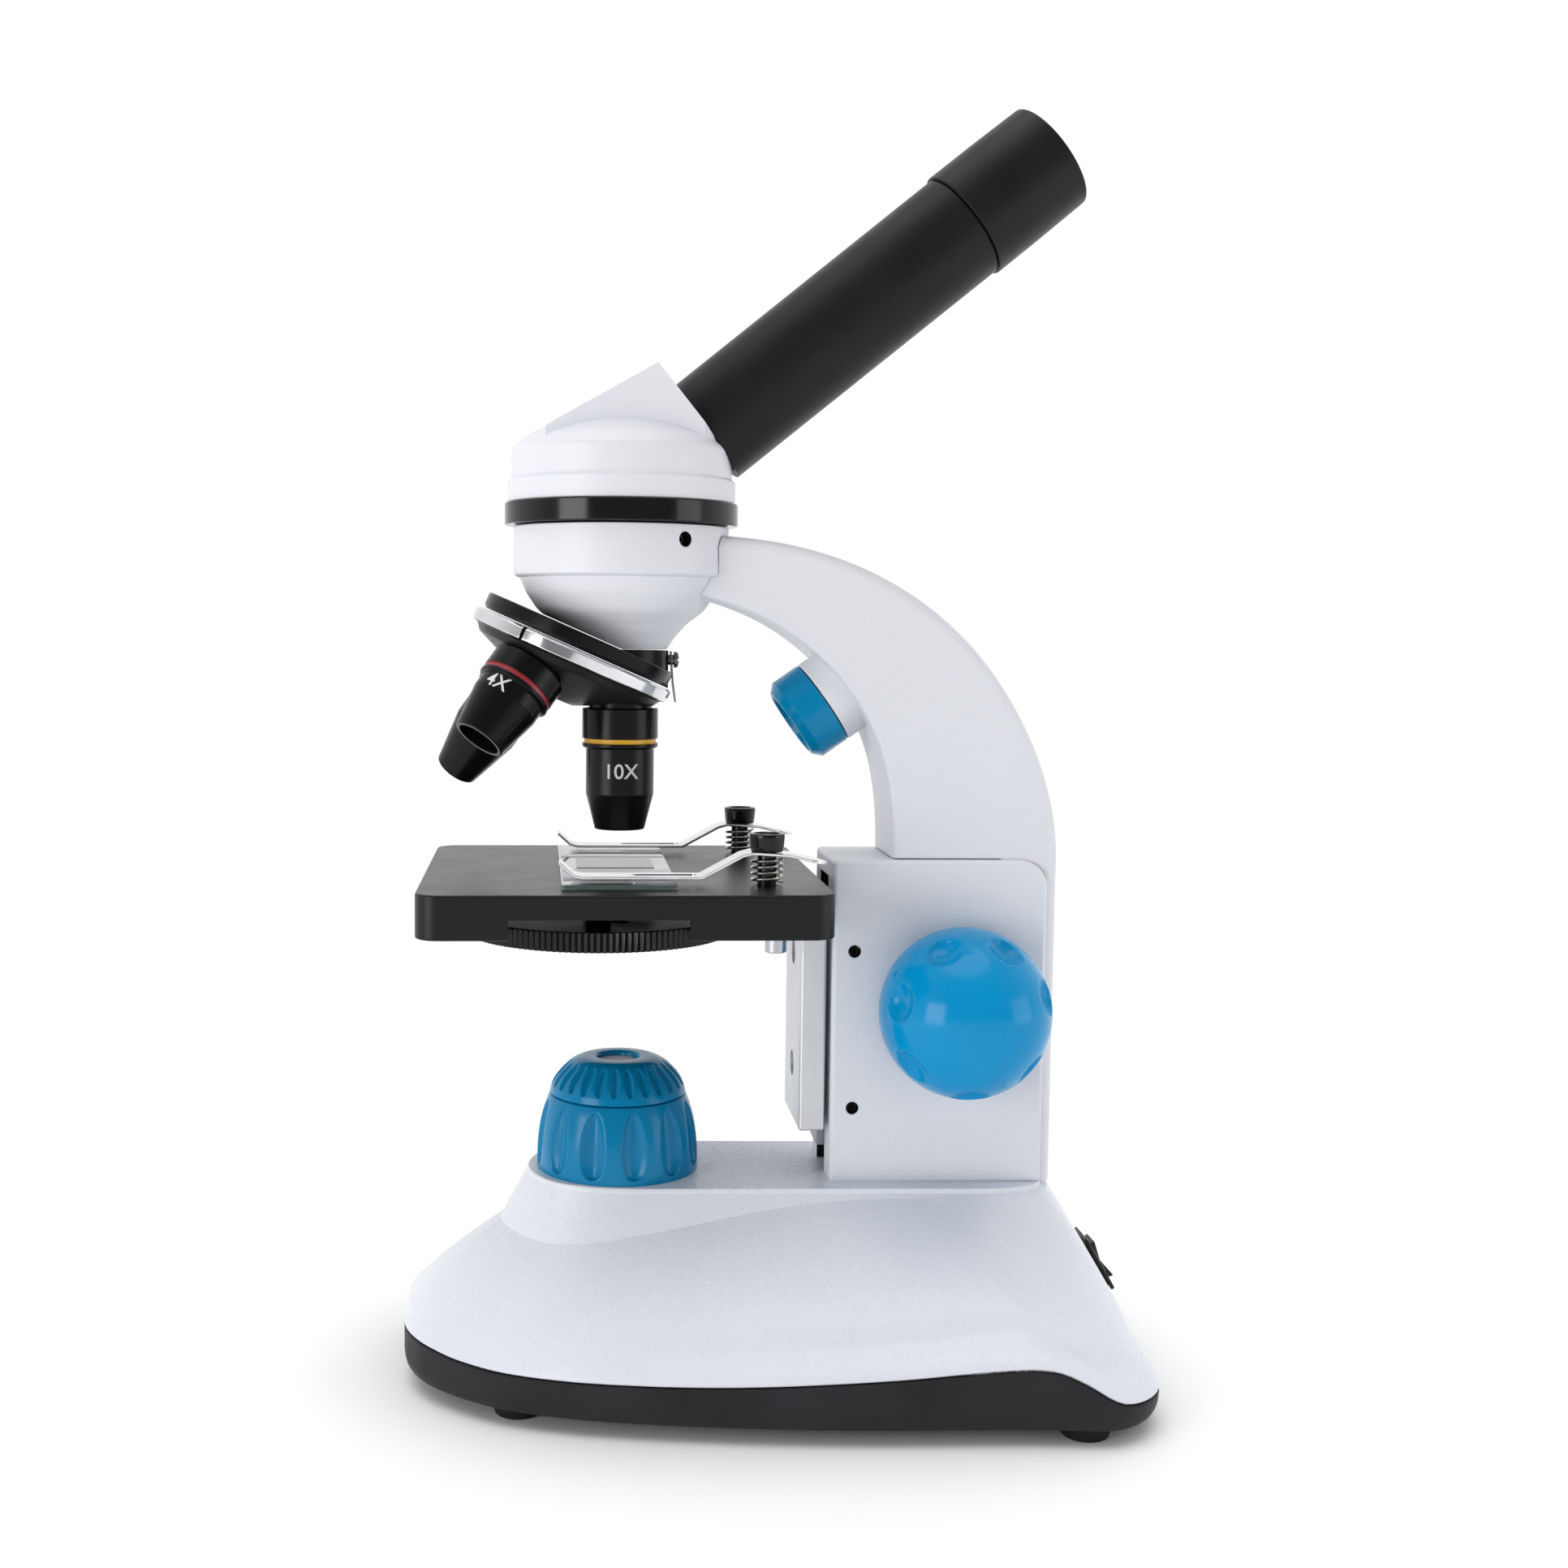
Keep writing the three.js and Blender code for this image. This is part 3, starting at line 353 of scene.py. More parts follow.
def extrude(name, outline, low, high, plane="XZ"):
    """Extrudes an outline in a plane along the axis across it."""
    place = {
        "XZ": lambda a, b, c: (a, c, b),
        "XY": lambda a, b, c: (a, b, c),
        "YZ": lambda a, b, c: (c, a, b),
    }[plane]
    n = len(outline)
    verts = [place(a, b, level) for level in (low, high) for a, b in outline]
    faces = [list(range(n)), list(range(2 * n - 1, n - 1, -1))]
    faces += [[i, (i + 1) % n, n + (i + 1) % n, n + i] for i in range(n)]
    return new_object(name, verts, faces)


def block(name, lo, hi):
    outline = [(lo[0], lo[1]), (hi[0], lo[1]), (hi[0], hi[1]), (lo[0], hi[1])]
    return extrude(name, outline, lo[2], hi[2], "XY")


def rectangle(x0, y0, x1, y1, r, steps=8):
    return rounded([(x0, y0, r), (x1, y0, r), (x1, y1, r), (x0, y1, r)], steps=steps)


def skin(name, rings):
    """A surface through rings of equal length, the first and the last one closed."""
    n = len(rings[0])
    verts = [p for ring in rings for p in ring]
    faces = []
    for k in range(len(rings) - 1):
        for i in range(n):
            j = (i + 1) % n
            faces.append([k * n + i, k * n + j, (k + 1) * n + j, (k + 1) * n + i])
    faces += [list(range(n)), list(range(len(verts) - n, len(verts)))]
    return new_object(name, verts, faces)


def bezier(points, steps):
    """Points along chained cubic curves that share their ends."""
    out = [points[0]]
    for k in range(0, len(points) - 1, 3):
        a, b, c, d = (np.array(p, float) for p in points[k : k + 4])
        for t in np.linspace(0, 1, steps + 1)[1:]:
            s = 1 - t
            out.append(tuple(s**3 * a + 3 * s * s * t * b + 3 * s * t * t * c + t**3 * d))
    return out


def resample(points, count):
    """The same line with evenly spaced points."""
    line = np.array(points, float)
    along = np.concatenate([[0], np.cumsum(np.linalg.norm(np.diff(line, axis=0), axis=1))])
    at = np.linspace(0, along[-1], count)
    return np.stack([np.interp(at, along, line[:, k]) for k in range(line.shape[1])], axis=1)


def smoothstep(x, lo, hi):
    t = min(max((x - lo) / (hi - lo), 0.0), 1.0)
    return t * t * (3 - 2 * t)


def paint(made, index, test):
    """Gives a material index to the faces whose centre passes a test."""
    for face in made.data.polygons:
        if test(face.center):
            face.material_index = index


def merge(made, *others):
    """Joins other meshes into one, keeping which material each face has."""
    edit = bmesh.new()
    edit.from_mesh(made.data)
    for other in others:
        edit.from_mesh(other.data)
        bpy.data.objects.remove(other)
    edit.to_mesh(made.data)
    edit.free()
    return made


def make(made, body, mats, node, at=HOME, sharp=32, weighted=True):
    """Puts a finished piece in the world, on its body, in place of its CAD node."""
    mesh = made.data
    mesh.transform(WORLD @ at)
    for name in [mats] if isinstance(mats, str) else mats:
        mesh.materials.append(MATS[name])
    mesh.shade_smooth()
    mesh.set_sharp_from_angle(angle=math.radians(sharp))
    if weighted:
        normals = made.modifiers.new("normals", "WEIGHTED_NORMAL")
        normals.keep_sharp = True
        bake(made)
    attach(made, body)
    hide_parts(node)


def coil(name, radius, wire, low, high, turns):
    """A round-wire spring about Z."""
    steps, sides = turns * 40, 10
    rings = []
    for k in range(steps + 1):
        t = k / steps
        a = 2 * math.pi * turns * t
        rise = low + (high - low) * t
        ring = []
        for i in range(sides):
            b = 2 * math.pi * i / sides
            r = radius + wire * math.cos(b)
            ring.append((r * math.cos(a), r * math.sin(a), rise + wire * math.sin(b)))
        rings.append(ring)
    return skin(name, rings)


def lettering(text, height, radius, z, angle):
    """Printed text bent round a barrel about Z, facing an angle from +X."""
    data = bpy.data.curves.new("text", "FONT")
    data.body, data.size = text, height * 1.38
    data.align_x, data.align_y = "CENTER", "CENTER"
    data.offset = height * 0.012
    data.extrude = 0.04
    data.resolution_u = 8
    source = add("text", data)
    graph = bpy.context.evaluated_depsgraph_get()
    mesh = bpy.data.meshes.new_from_object(source.evaluated_get(graph))
    bpy.data.objects.remove(source)
    edit = bmesh.new()
    edit.from_mesh(mesh)
    bmesh.ops.triangulate(edit, faces=edit.faces)
    for _ in range(3):
        long = [e for e in edit.edges if e.calc_length() > 0.4]
        bmesh.ops.subdivide_edges(edit, edges=long, cuts=1)
        bmesh.ops.triangulate(edit, faces=edit.faces)
    for v in edit.verts:
        a = math.radians(angle) + v.co.x / radius
        out = radius + v.co.z
        v.co = (out * math.cos(a), out * math.sin(a), z + v.co.y)
    edit.to_mesh(mesh)
    edit.free()
    mesh.materials.clear()
    return add("text", mesh)


# ---------- base ----------
# half outlines in plan (x, y), and heights along x: of the seam above the ground, of the crease
FLOOR_LINE = [
    (-50, 0), (-49.3, -16), (-45.6, -25), (-41, -30.5), (-33.5, -37), (-26.2, -41.6), (-12, -46.8),
    (5.4, -50.5), (22.6, -53), (40, -54.8), (57, -55.9), (75, -56.3), (91, -56.9), (99, -57.8),
    (106, -57.9), (112, -55), (116.4, -50), (119.3, -43), (121.3, -24), (121.8, 0),
]
CREASE_LINE = [
    (-27.9, 0), (-24.5, -11), (-18, -18.8), (-11.7, -23.4), (-3.5, -25.4), (8.3, -24.7),
    (20.2, -23.5), (32.2, -22.6), (44.3, -21.7), (68, -20.9), (90, -20.3), (99, -16.8),
    (102.1, -8.5), (102.6, 0),
]
TOP_LINE = [
    (-20.9, 0), (-19.2, -8.5), (-14.5, -15.2), (-8, -18.4), (0, -19.9), (30, -20.1), (70, -20),
    (90, -19.3), (97.5, -16), (100.2, -8.5), (100.7, 0),
]
SEAM_LINE = [
    (-50, 13.6), (-45, 13.4), (-37, 12.7), (-12, 12.4), (22, 13), (57, 15.1), (85, 17.3),
    (93, 16.8), (99, 14.3), (105, 10.8), (109, 9.5), (122, 8.5),
]
CREASE_HEIGHT = [
    (-28, -83.8), (-18, -84.2), (-11.7, -83.3), (-3.5, -82.1), (8.3, -80.3), (20.2, -78.4),
    (32.2, -76.4), (44.3, -74.9), (56.5, -74.3), (80, -74.2), (106, -74.3),
]
BASE_TOP, PAN_FLOOR, WALL = -71.4, GROUND + 3.5, 2.4
AROUND = 240  # points round a ring
EDGE = 1.1  # radius of the deck's edge
FOLD, FOLD_Z, FOLD_WIDTH = 2.2, 5.4, 2.7  # the flank's soft groove above the seam


def through(points, at):
    """A value that runs smoothly through (position, value) points."""
    xs = [p[0] for p in points]
    if at <= xs[0]:
        return points[0][1]
    if at >= xs[-1]:
        return points[-1][1]
    i = next(k for k, x in enumerate(xs) if x > at) - 1
    (x0, y0), (x1, y1) = points[i], points[i + 1]

    def slope(k):
        a, b = points[max(k - 1, 0)], points[min(k + 1, len(points) - 1)]
        return (b[1] - a[1]) / (b[0] - a[0])

    d = x1 - x0
    t = (at - x0) / d
    return (
        (2 * t**3 - 3 * t**2 + 1) * y0 + (t**3 - 2 * t**2 + t) * d * slope(i)
        + (3 * t**2 - 2 * t**3) * y1 + (t**3 - t**2) * d * slope(i + 1)
    )


def plan_curve(half):
    """The closed centripetal spline through a half outline and its mirror image, evenly spaced."""
    pts = [np.array(p, float) for p in half]
    pts += [np.array((x, -y), float) for x, y in half[-2:0:-1]]
    n, line = len(pts), []
    for i in range(n):
        p0, p1, p2, p3 = (pts[(i + k) % n] for k in (-1, 0, 1, 2))
        d = [max(np.linalg.norm(b - a) ** 0.5, 1e-4) for a, b in ((p0, p1), (p1, p2), (p2, p3))]
        t0 = ((p1 - p0) / d[0] - (p2 - p0) / (d[0] + d[1]) + (p2 - p1) / d[1]) * d[1]
        t1 = ((p2 - p1) / d[1] - (p3 - p1) / (d[1] + d[2]) + (p3 - p2) / d[2]) * d[1]
        for s in np.linspace(0, 1, 24, endpoint=False):
            h = (2 * s**3 - 3 * s**2 + 1, s**3 - 2 * s**2 + s, 3 * s**2 - 2 * s**3, s**3 - s**2)
            line.append(h[0] * p1 + h[1] * t0 + h[2] * p2 + h[3] * t1)
    line.append(line[0])
    return resample(line, AROUND + 1)[:-1]


def inset(points, distance):
    """A closed line moved inwards."""
    ahead, behind = np.roll(points, -1, axis=0), np.roll(points, 1, axis=0)
    along = ahead - behind
    along /= np.linalg.norm(along, axis=1)[:, None]
    return points + np.stack([-along[:, 1], along[:, 0]], axis=1) * distance


def deck(x):
    """The height of the base's flat top, which falls a little to the rear."""
    return BASE_TOP - 0.0115 * x


def shell_rings(thickness, drop):
    """Rings from the seam over the flank, the crease and the edge to the deck."""
    floor, crease, top = (
        inset(plan_curve(line), thickness) for line in (FLOOR_LINE, CREASE_LINE, TOP_LINE)
    )
    rings = []

    def ring(make_point):
        rings.append([make_point(i) for i in range(AROUND)])

    seam = [GROUND + through(SEAM_LINE, x) for x, _ in floor]
    if drop:
        ring(lambda i: (*floor[i], seam[i] - drop))
    else:
        lip = inset(plan_curve(FLOOR_LINE), 0.5)
        ring(lambda i: (*lip[i], seam[i]))
    for step in range(31):
        s = (step / 30) ** 1.8

        def dome(i):
            f, c = floor[i], crease[i]
            low, high = seam[i] + 0.4, through(CREASE_HEIGHT, c[0]) - thickness
            rear = smoothstep(f[0], 60, 125)
            corner = smoothstep(abs(f[1]), 4, 26) * (1 - smoothstep(f[0], -40, -10))
            bulge = 0.73 + 0.3 * corner + 0.15 * rear
            z = low + (high - low) * s**bulge
            fold = FOLD * smoothstep(f[0], -15, 45) * (1 - 0.6 * smoothstep(f[0], 108, 122))
            depth = fold * math.exp(-(((z - low - FOLD_Z) / FOLD_WIDTH) ** 2))
            span = c - f
            return (*(f + span * s + span / np.linalg.norm(span) * depth), z)

        ring(dome)
    for share in (0.25, 0.5, 0.75):

        def slope(i):
            low = through(CREASE_HEIGHT, crease[i][0])
            z = low - thickness + (deck(top[i][0]) - EDGE - low) * share
            return (*(crease[i] + (top[i] - crease[i]) * share * 0.9), z)

        ring(slope)
    for a in np.linspace(0, math.pi / 2, 6):
        reach = 0.9 + 0.1 * (1 - math.cos(a))
        below = thickness + EDGE * (1 - math.sin(a))
        ring(lambda i: (*(crease[i] + (top[i] - crease[i]) * reach), deck(top[i][0]) - below))
    return rings


def build_base():
    shell = skin("base_shell_skin", shell_rings(0, 0))
    inside = skin("inside", shell_rings(WALL, 12))
    wire_hole = rod("hole", 5, BASE_TOP - 8, BASE_TOP + 2)
    seat = move(block("seat", (-7.8, -5.6, 0), (7.8, 5.6, 8)), SWITCH)
    hole = move(block("hole", (-6.3, -4.3, -12), (6.3, 4.3, 6)), SWITCH)
    carve(shell, inside, wire_hole, seat, hole)
    make(shell, "stand", "base_white", "base_shell", sharp=15, weighted=False)

    outline = plan_curve(FLOOR_LINE)
    rings = []
    for a in np.linspace(0, math.pi / 2, 6):
        z = PAN_FLOOR + 4 * (1 - math.cos(a))
        rings.append([(*p, z) for p in inset(outline, 2.2 * (1 - math.sin(a)))])
    wall = [GROUND + through(SEAM_LINE, x) - 0.3 for x, _ in outline]
    foot = rings[-1][0][2]
    for share in (0.35, 0.7):
        rings.append([
            (*p, foot * (1 - share) + (wall[i] - 0.5) * share) for i, p in enumerate(outline)
        ])
    rings.append([(*p, wall[i] - 0.35) for i, p in enumerate(outline)])
    rings.append([(*p, wall[i]) for i, p in enumerate(inset(outline, 0.35))])
    pan = skin("base_pan_skin", rings)
    hollow = inset(outline, WALL + 1)
    inner = skin("hollow", [[(*p, z) for p in hollow] for z in (PAN_FLOOR + 2.6, GROUND + 30)])
    door_hole = block("hole", (23, -28, PAN_FLOOR - 1), (73, 28, PAN_FLOOR + 4))
    carve(pan, inner, door_hole)
    make(pan, "stand", "trim", "base_pan", sharp=40, weighted=False)

    panel = rectangle(23.3, -27.7, 72.7, 27.7, 1.5)
    door = soften(extrude("battery_door_panel", panel, PAN_FLOOR, PAN_FLOOR + 2.2, "XY"), 0.4, 2)
    for x in np.arange(40, 57, 2.6):
        grip = rectangle(x - 0.6, 16, x + 0.6, 25, 0.55)
        carve(door, extrude("grip", grip, PAN_FLOOR - 0.1, PAN_FLOOR + 0.8, "XY"))
    make(door, "stand", "trim", "battery_door")

    top = GROUND + 3.2
    pad = rounded([(0, GROUND), (5.2, GROUND, 0.7), (6, top, 0.3), (0, top)], False)
    for end, x, y in (("front", -23, 32), ("rear", 101, 49)):
        for side, s in SIDES:
            node = f"foot_{end}_{side}"
            spot = shift(x, s * y, 0)
            make(lathe(node + "_pad", pad, 64), "stand", "rubber", node, at=spot)


def build_switch():
    bezel = extrude("switch_bezel", rectangle(-7.2, -5.3, 7.2, 5.3, 0.9), 0.2, 1.2, "XY")
    soften(bezel, 0.35, 2)
    weld(bezel, block("body", (-6, -4, -10), (6, 4, 0.6)))
    carve(bezel, block("well", (-5.4, -3.4, -3.5), (5.4, 3.4, 3)))
    make(bezel, "stand", "gloss_black", "switch_body", at=SWITCH)
    side = rounded([
        (-5, 2.6, 0.25), (0, 1.5, 0.8), (5, 2.6, 0.25), (4.6, 0.6, 0.2), (0, -2.2, 0.4),
        (-4.6, 0.6, 0.2),
    ])
    rocker = soften(extrude("switch_rocker_key", side, -3.1, 3.1), 0.25, 2)
    make(rocker, "power_switch", "gloss_black", "switch_rocker", at=SWITCH)


def scoops(count, phase, low, high, width, depth, taper=0.0):
    """Spoon-shaped dents round a turned part, pointed at the top by a taper."""

    def warp(r, z, a):
        t = (z - low) / (high - low)
        if not 0 < t < 1:
            return r, z
        pitch = 2 * math.pi / count
        off = (a - math.radians(phase) + pitch / 2) % pitch - pitch / 2
        swell = math.sqrt(4 * t ** (1 - taper) * (1 - t ** (1 - taper)))
        half = width / 2 * max(swell, 1e-3)
        q = abs(off * r) / half
        dent = depth * swell**0.7 * max(0.0, 1 - q * q)
        return r - dent, z

    return warp


def build_base_lamp():
    line = resample(bezier([(19.15, -71.9), (19.3, -64), (18.4, -58.5), (16.3, -53.9)], 60), 110)
    profile = [(8, -71.9), (18.6, -71.9)] + [tuple(p) for p in line] + [(16.0, -53.75), (8, -53.75)]
    flutes = scoops(12, -110, -70.2, -54.9, 6.3, 1.7, 0.25)
    collar = lathe("lamp_collar_bell", profile, 360, flutes)
    make(collar, "stand", "blue", "lamp_collar", sharp=50, weighted=False)

    side = resample(bezier([(16.2, -53.3), (15.8, -51), (14.7, -49.4), (12.9, -47.7)], 40), 70)
    crown = bezier([(12.9, -47.7), (11.6, -46.4), (10.2, -45.2), (7.8, -45.0)], 14)
    profile = [(11, -53.5), (16.0, -53.5)] + [tuple(p) for p in side] + crown[1:]
    well = [(7.8, -45.0), (5.3, -45.0, 0.4), (5, -45.6, 0.2), (5, -47.5), (11, -49.5)]
    profile += rounded(well, False)[1:]
    cap = lathe("lamp_cap_crown", profile, 416, scoops(26, -94.9, -51.7, -46.0, 2.5, 1.1))
    make(cap, "base_lamp", "blue", "lamp_cap", sharp=50, weighted=False)
    pane = rounded([(0, -47.3), (4.7, -47.3, 0.1), (4.7, -46.1, 0.2), (0, -46.05)], False)
    window = lathe("lamp_window_disc", pane, 64)
    make(window, "base_lamp", "frosted", "lamp_window")


# ---------- arm and focus housing ----------
ARM_OUTER = [
    (12, 77.7), (46.2, 79.2), (69.5, 67.2), (84.6, 48.9), (95.7, 34.9), (102.1, 18), (102.1, 3.9),
]
ARM_INNER = [
    (12, 65.1), (28.3, 62.2), (39.4, 56.9), (49.9, 45.6), (58.9, 34.8), (63, 24), (63, 3.9),
]
ARM_HALF = 12.6
ARM_OUTSIDE, ARM_INSIDE, ARM_FLARE = 3.0, 1.1, 0.4  # radii of its edges and where it meets the head
HEAD_PROFILE = [
    (10.8, 51.7, 0.4), (12.6, 54.4, 3), (15.2, 57.4, 6), (19.4, 60.6, 8), (22.1, 64.6, 6),
    (23.6, 68.1, 0.5), (24.6, 68.4, 0.2), (25, 68.8, 0.3), (25, 79.8, 0.3),
]


def arm_section(outer, inner):
    """A rounded section of the arm between two points (x, z), with a flare at the head."""
    outer, inner = Vector((outer[0], 0, outer[1])), Vector((inner[0], 0, inner[1]))
    u = outer - inner
    length = u.length
    u.normalize()
    flat = rounded([
        (0, -ARM_HALF, ARM_INSIDE), (length, -ARM_HALF, ARM_OUTSIDE),
        (length, ARM_HALF, ARM_OUTSIDE), (0, ARM_HALF, ARM_INSIDE),
    ], steps=7)
    ring, n = [], len(flat)
    for i, (a, b) in enumerate(flat):
        p = inner + u * a + Vector((0, b, 0))
        tangent = Vector(flat[(i + 1) % n]) - Vector(flat[i - 1])
        normal = Vector((tangent.y, -tangent.x)).normalized()
        wall = np.interp(p.z, [q[1] for q in HEAD_PROFILE], [q[0] for q in HEAD_PROFILE])
        gap = min(max(math.hypot(p.x, p.y) - wall, 0.0), ARM_FLARE)
        flare = ARM_FLARE - math.sqrt(max(0.0, ARM_FLARE**2 - (ARM_FLARE - gap) ** 2))
        ring.append(p + (u * normal.x + Vector((0, normal.y, 0))) * flare)
    return ring


def build_arm():
    outer = resample(bezier(ARM_OUTER, 60), 90)
    inner = resample(bezier(ARM_INNER, 60), 90)
    rings = [arm_section(o, i) for o, i in zip(outer, inner)]
    for z in (3.85, -20, -45, -72.9):
        rings.append(arm_section((102.1, z), (88, z)))
    arm = skin("arm_casting", rings)
    boss = lathe("boss", rounded([(0, -11), (10.5, -11), (10.5, 0, 0.3), (0, 0)], False), 96)
    move(boss, TOP_LAMP)
    bore = move(rod("bore", 5, -9, 1), TOP_LAMP)
    bowl = [(q[0] + 0.1, *q[1:]) for q in HEAD_PROFILE]
    head = lathe("head", rounded([(0, 51.6), *bowl, (25.1, 90), (0, 90)], False), 160)
    weld(arm, boss)
    carve(arm, bore, head)
    make(arm, "stand", "white", "arm", sharp=38)

    shade = rounded([
        (7.2, 0.3), (10.5, 0.3, 0.2), (10.5, 7.2, 0.3), (8.6, 9.1, 0.35), (7.9, 9.1, 0.2),
        (7.2, 7.4, 0.2),
    ])
    cap = lathe("top_lamp_shade", shade, 128)
    make(cap, "stand", "blue", "top_lamp_cap", at=TOP_LAMP)
    dome = [(0, 1), (6.9, 1)] + bezier([(6.9, 4.2), (5.6, 5.6), (3, 6.5), (0, 6.5)], 10)
    lens = lathe("top_lamp_dome", dome, 96)
    make(lens, "stand", "glass", "top_lamp_lens", at=TOP_LAMP)


def build_housing():
    outline = rounded([(49, -72.7), (99.2, -72.7), (99.2, 3.6, 6.5), (49, 3.6)], steps=12)
    housing = soften(extrude("focus_housing_block", outline, -CHEEK, CHEEK), 1.1, 4)
    slot = ARM_HALF + 0.05
    carve(
        housing,
        block("cavity", (51.5, -11.4, -74), (99, 11.4, 1.1)),
        block("slot", (87.7, -slot, -74), (101, slot, 5)),
        block("slide", (48, -6.1, -74), (52.5, 6.1, -1)),
        move(rod("shaft", 3.1, -20, 20), shift(SHAFT_X, 0, SHAFT_Z) @ turn("X", 90)),
    )
    bore = [(0, 8), (1.45, 8), (1.45, 14.1), (1.6, CHEEK), (1.6, 20), (0, 20)]
    for z in GRUB_Z:
        carve(housing, move(lathe("hole", bore, 40), shift(GRUB_X, 0, z) @ turn("X", 90)))

    def in_shade(c):
        """Inside a grub-screw hole, or inside the block."""
        off = min(abs(c.z - z) for z in GRUB_Z)
        hole = abs(c.y) < CHEEK - 0.05 and math.hypot(c.x - GRUB_X, off) < 1.5
        return hole or (abs(c.y) < 13 and 49.3 < c.x < 98.9 and c.z < 2.5)

    paint(housing, 1, in_shade)
    make(housing, "stand", ("white", "shade"), "focus_housing", sharp=38)


# ---------- head ----------
def build_head():
    body = lathe("head_casting", rounded([(0, 51.7), *HEAD_PROFILE, (0, 79.8)], False), 160)
    seat = move(rod("seat", 23.5, -60, -22.6, 96), NOSE)
    lock = shift(0, 0, PIVOT_Z) @ turn("Z", -57) @ turn("Y", 90)
    bore = [(0, 17), (1.7, 17), (1.7, 24.75), (1.95, 25), (1.95, 30), (0, 30)]
    carve(body, seat, rod("well", 7, 40, 90), move(lathe("hole", bore, 40), lock))
    reach = lock.to_3x3() @ Vector((0, 0, 1))

    def in_hole(c):
        out = c - Vector((0, 0, PIVOT_Z))
        along = out.dot(reach)
        return 15 < along < 24.7 and (out - reach * along).length < 1.8

    paint(body, 1, in_hole)
    make(body, "stand", ("white", "shade"), "head_body", sharp=34)
    grub = rounded([(0, 18), (1.4, 18), (1.4, 22.6, 0.2), (0, 22.6)], False)
    screw = lathe("head_lock_grub", grub, 32)
    carve(screw, rod("hex", 0.75, 21, 30, 6))
    make(screw, "stand", "dark_steel", "head_lock_screw", at=lock)

    ring = rounded([(12, 80.1), (27.1, 80.1, 0.35), (27.1, 85.2, 0.35), (12, 85.2)])
    collar = lathe("head_collar_ring", ring, 160)
    make(collar, "head", "gloss_black", "head_collar")

    drum = rounded(
        [(0, 85.3), (26.4, 85.3, 0.25), (26.4, 90.2, 0.4), (25.6, 90.8, 0.4), (25.5, 97.4, 1.6),
         (22.8, 100.2, 6), (15, 104, 10), (7, 106), (0, 106.6)], False, 7)
    housing = lathe("prism_casting", drum, 160)
    roof = rounded([(-17.7, 88), (-17.7, 101.6, 0.8), (7.65, 116, 0.6), (26, 93.2), (26, 88)])
    wedge = extrude("roof", roof, -15.5, 15.5)
    combine(wedge, rod("round", 23.8, 80, 130, 144), "INTERSECT")
    weld(housing, wedge)
    carve(housing, move(block("face", (-40, -40, -1.3), (40, 40, 60)), TUBE))
    carve(
        housing,
        move(rod("spigot", 10.8, -9, 5, 64), TUBE),
        rod("light", 9, 80, 95),
        block("room", (-10, -10, 90), (11, 10, 103.5)),
    )
    make(housing, "head", "white", "prism_housing", sharp=34)


def build_eyepiece():
    sleeve = rounded([
        (8.9, -8), (10.5, -8, 0.3), (10.5, -1.2), (12.8, -1.2, 0.25), (12.8, 75.7, 0.2),
        (11.2, 75.7, 0.2), (11.2, 3), (8.9, 3),
    ])
    tube = lathe("eyepiece_tube_sleeve", sleeve, 128)
    make(tube, "head", "tube_black", "eyepiece_tube", at=TUBE)
    end = 75.95
    shell = rounded([
        (9.4, 52), (10.9, 52, 0.2), (10.9, end), (13.4, end, 0.3), (13.35, end + 12, 8),
        (13.1, end + 25.9, 0.5), (9.8, end + 25.9, 0.4), (8.2, end + 23.4, 0.4), (8.2, end + 12),
        (9.4, end + 10),
    ])
    barrel = lathe("eyepiece_shell", shell, 144)
    make(barrel, "eyepiece", "tube_black", "eyepiece_barrel", at=TUBE)
    low = end + 17
    lens = bezier([(0, low), (3, low + 0.1), (6.5, low + 0.9), (7.9, low + 1.6)], 8)
    lens += bezier([(7.9, low + 3.4), (6.5, low + 4.2), (3, low + 5), (0, low + 5)], 8)
    glass = lathe("eye_lens_element", lens, 96)
    make(glass, "eyepiece", "glass", "eye_lens", at=TUBE)


# ---------- nosepiece ----------
FACE, RIM = 26.9, 24.7  # the turret's face below the pivot, and the radius of its rim
SHOULDER = 38.4  # where the barrels start, along their own axis


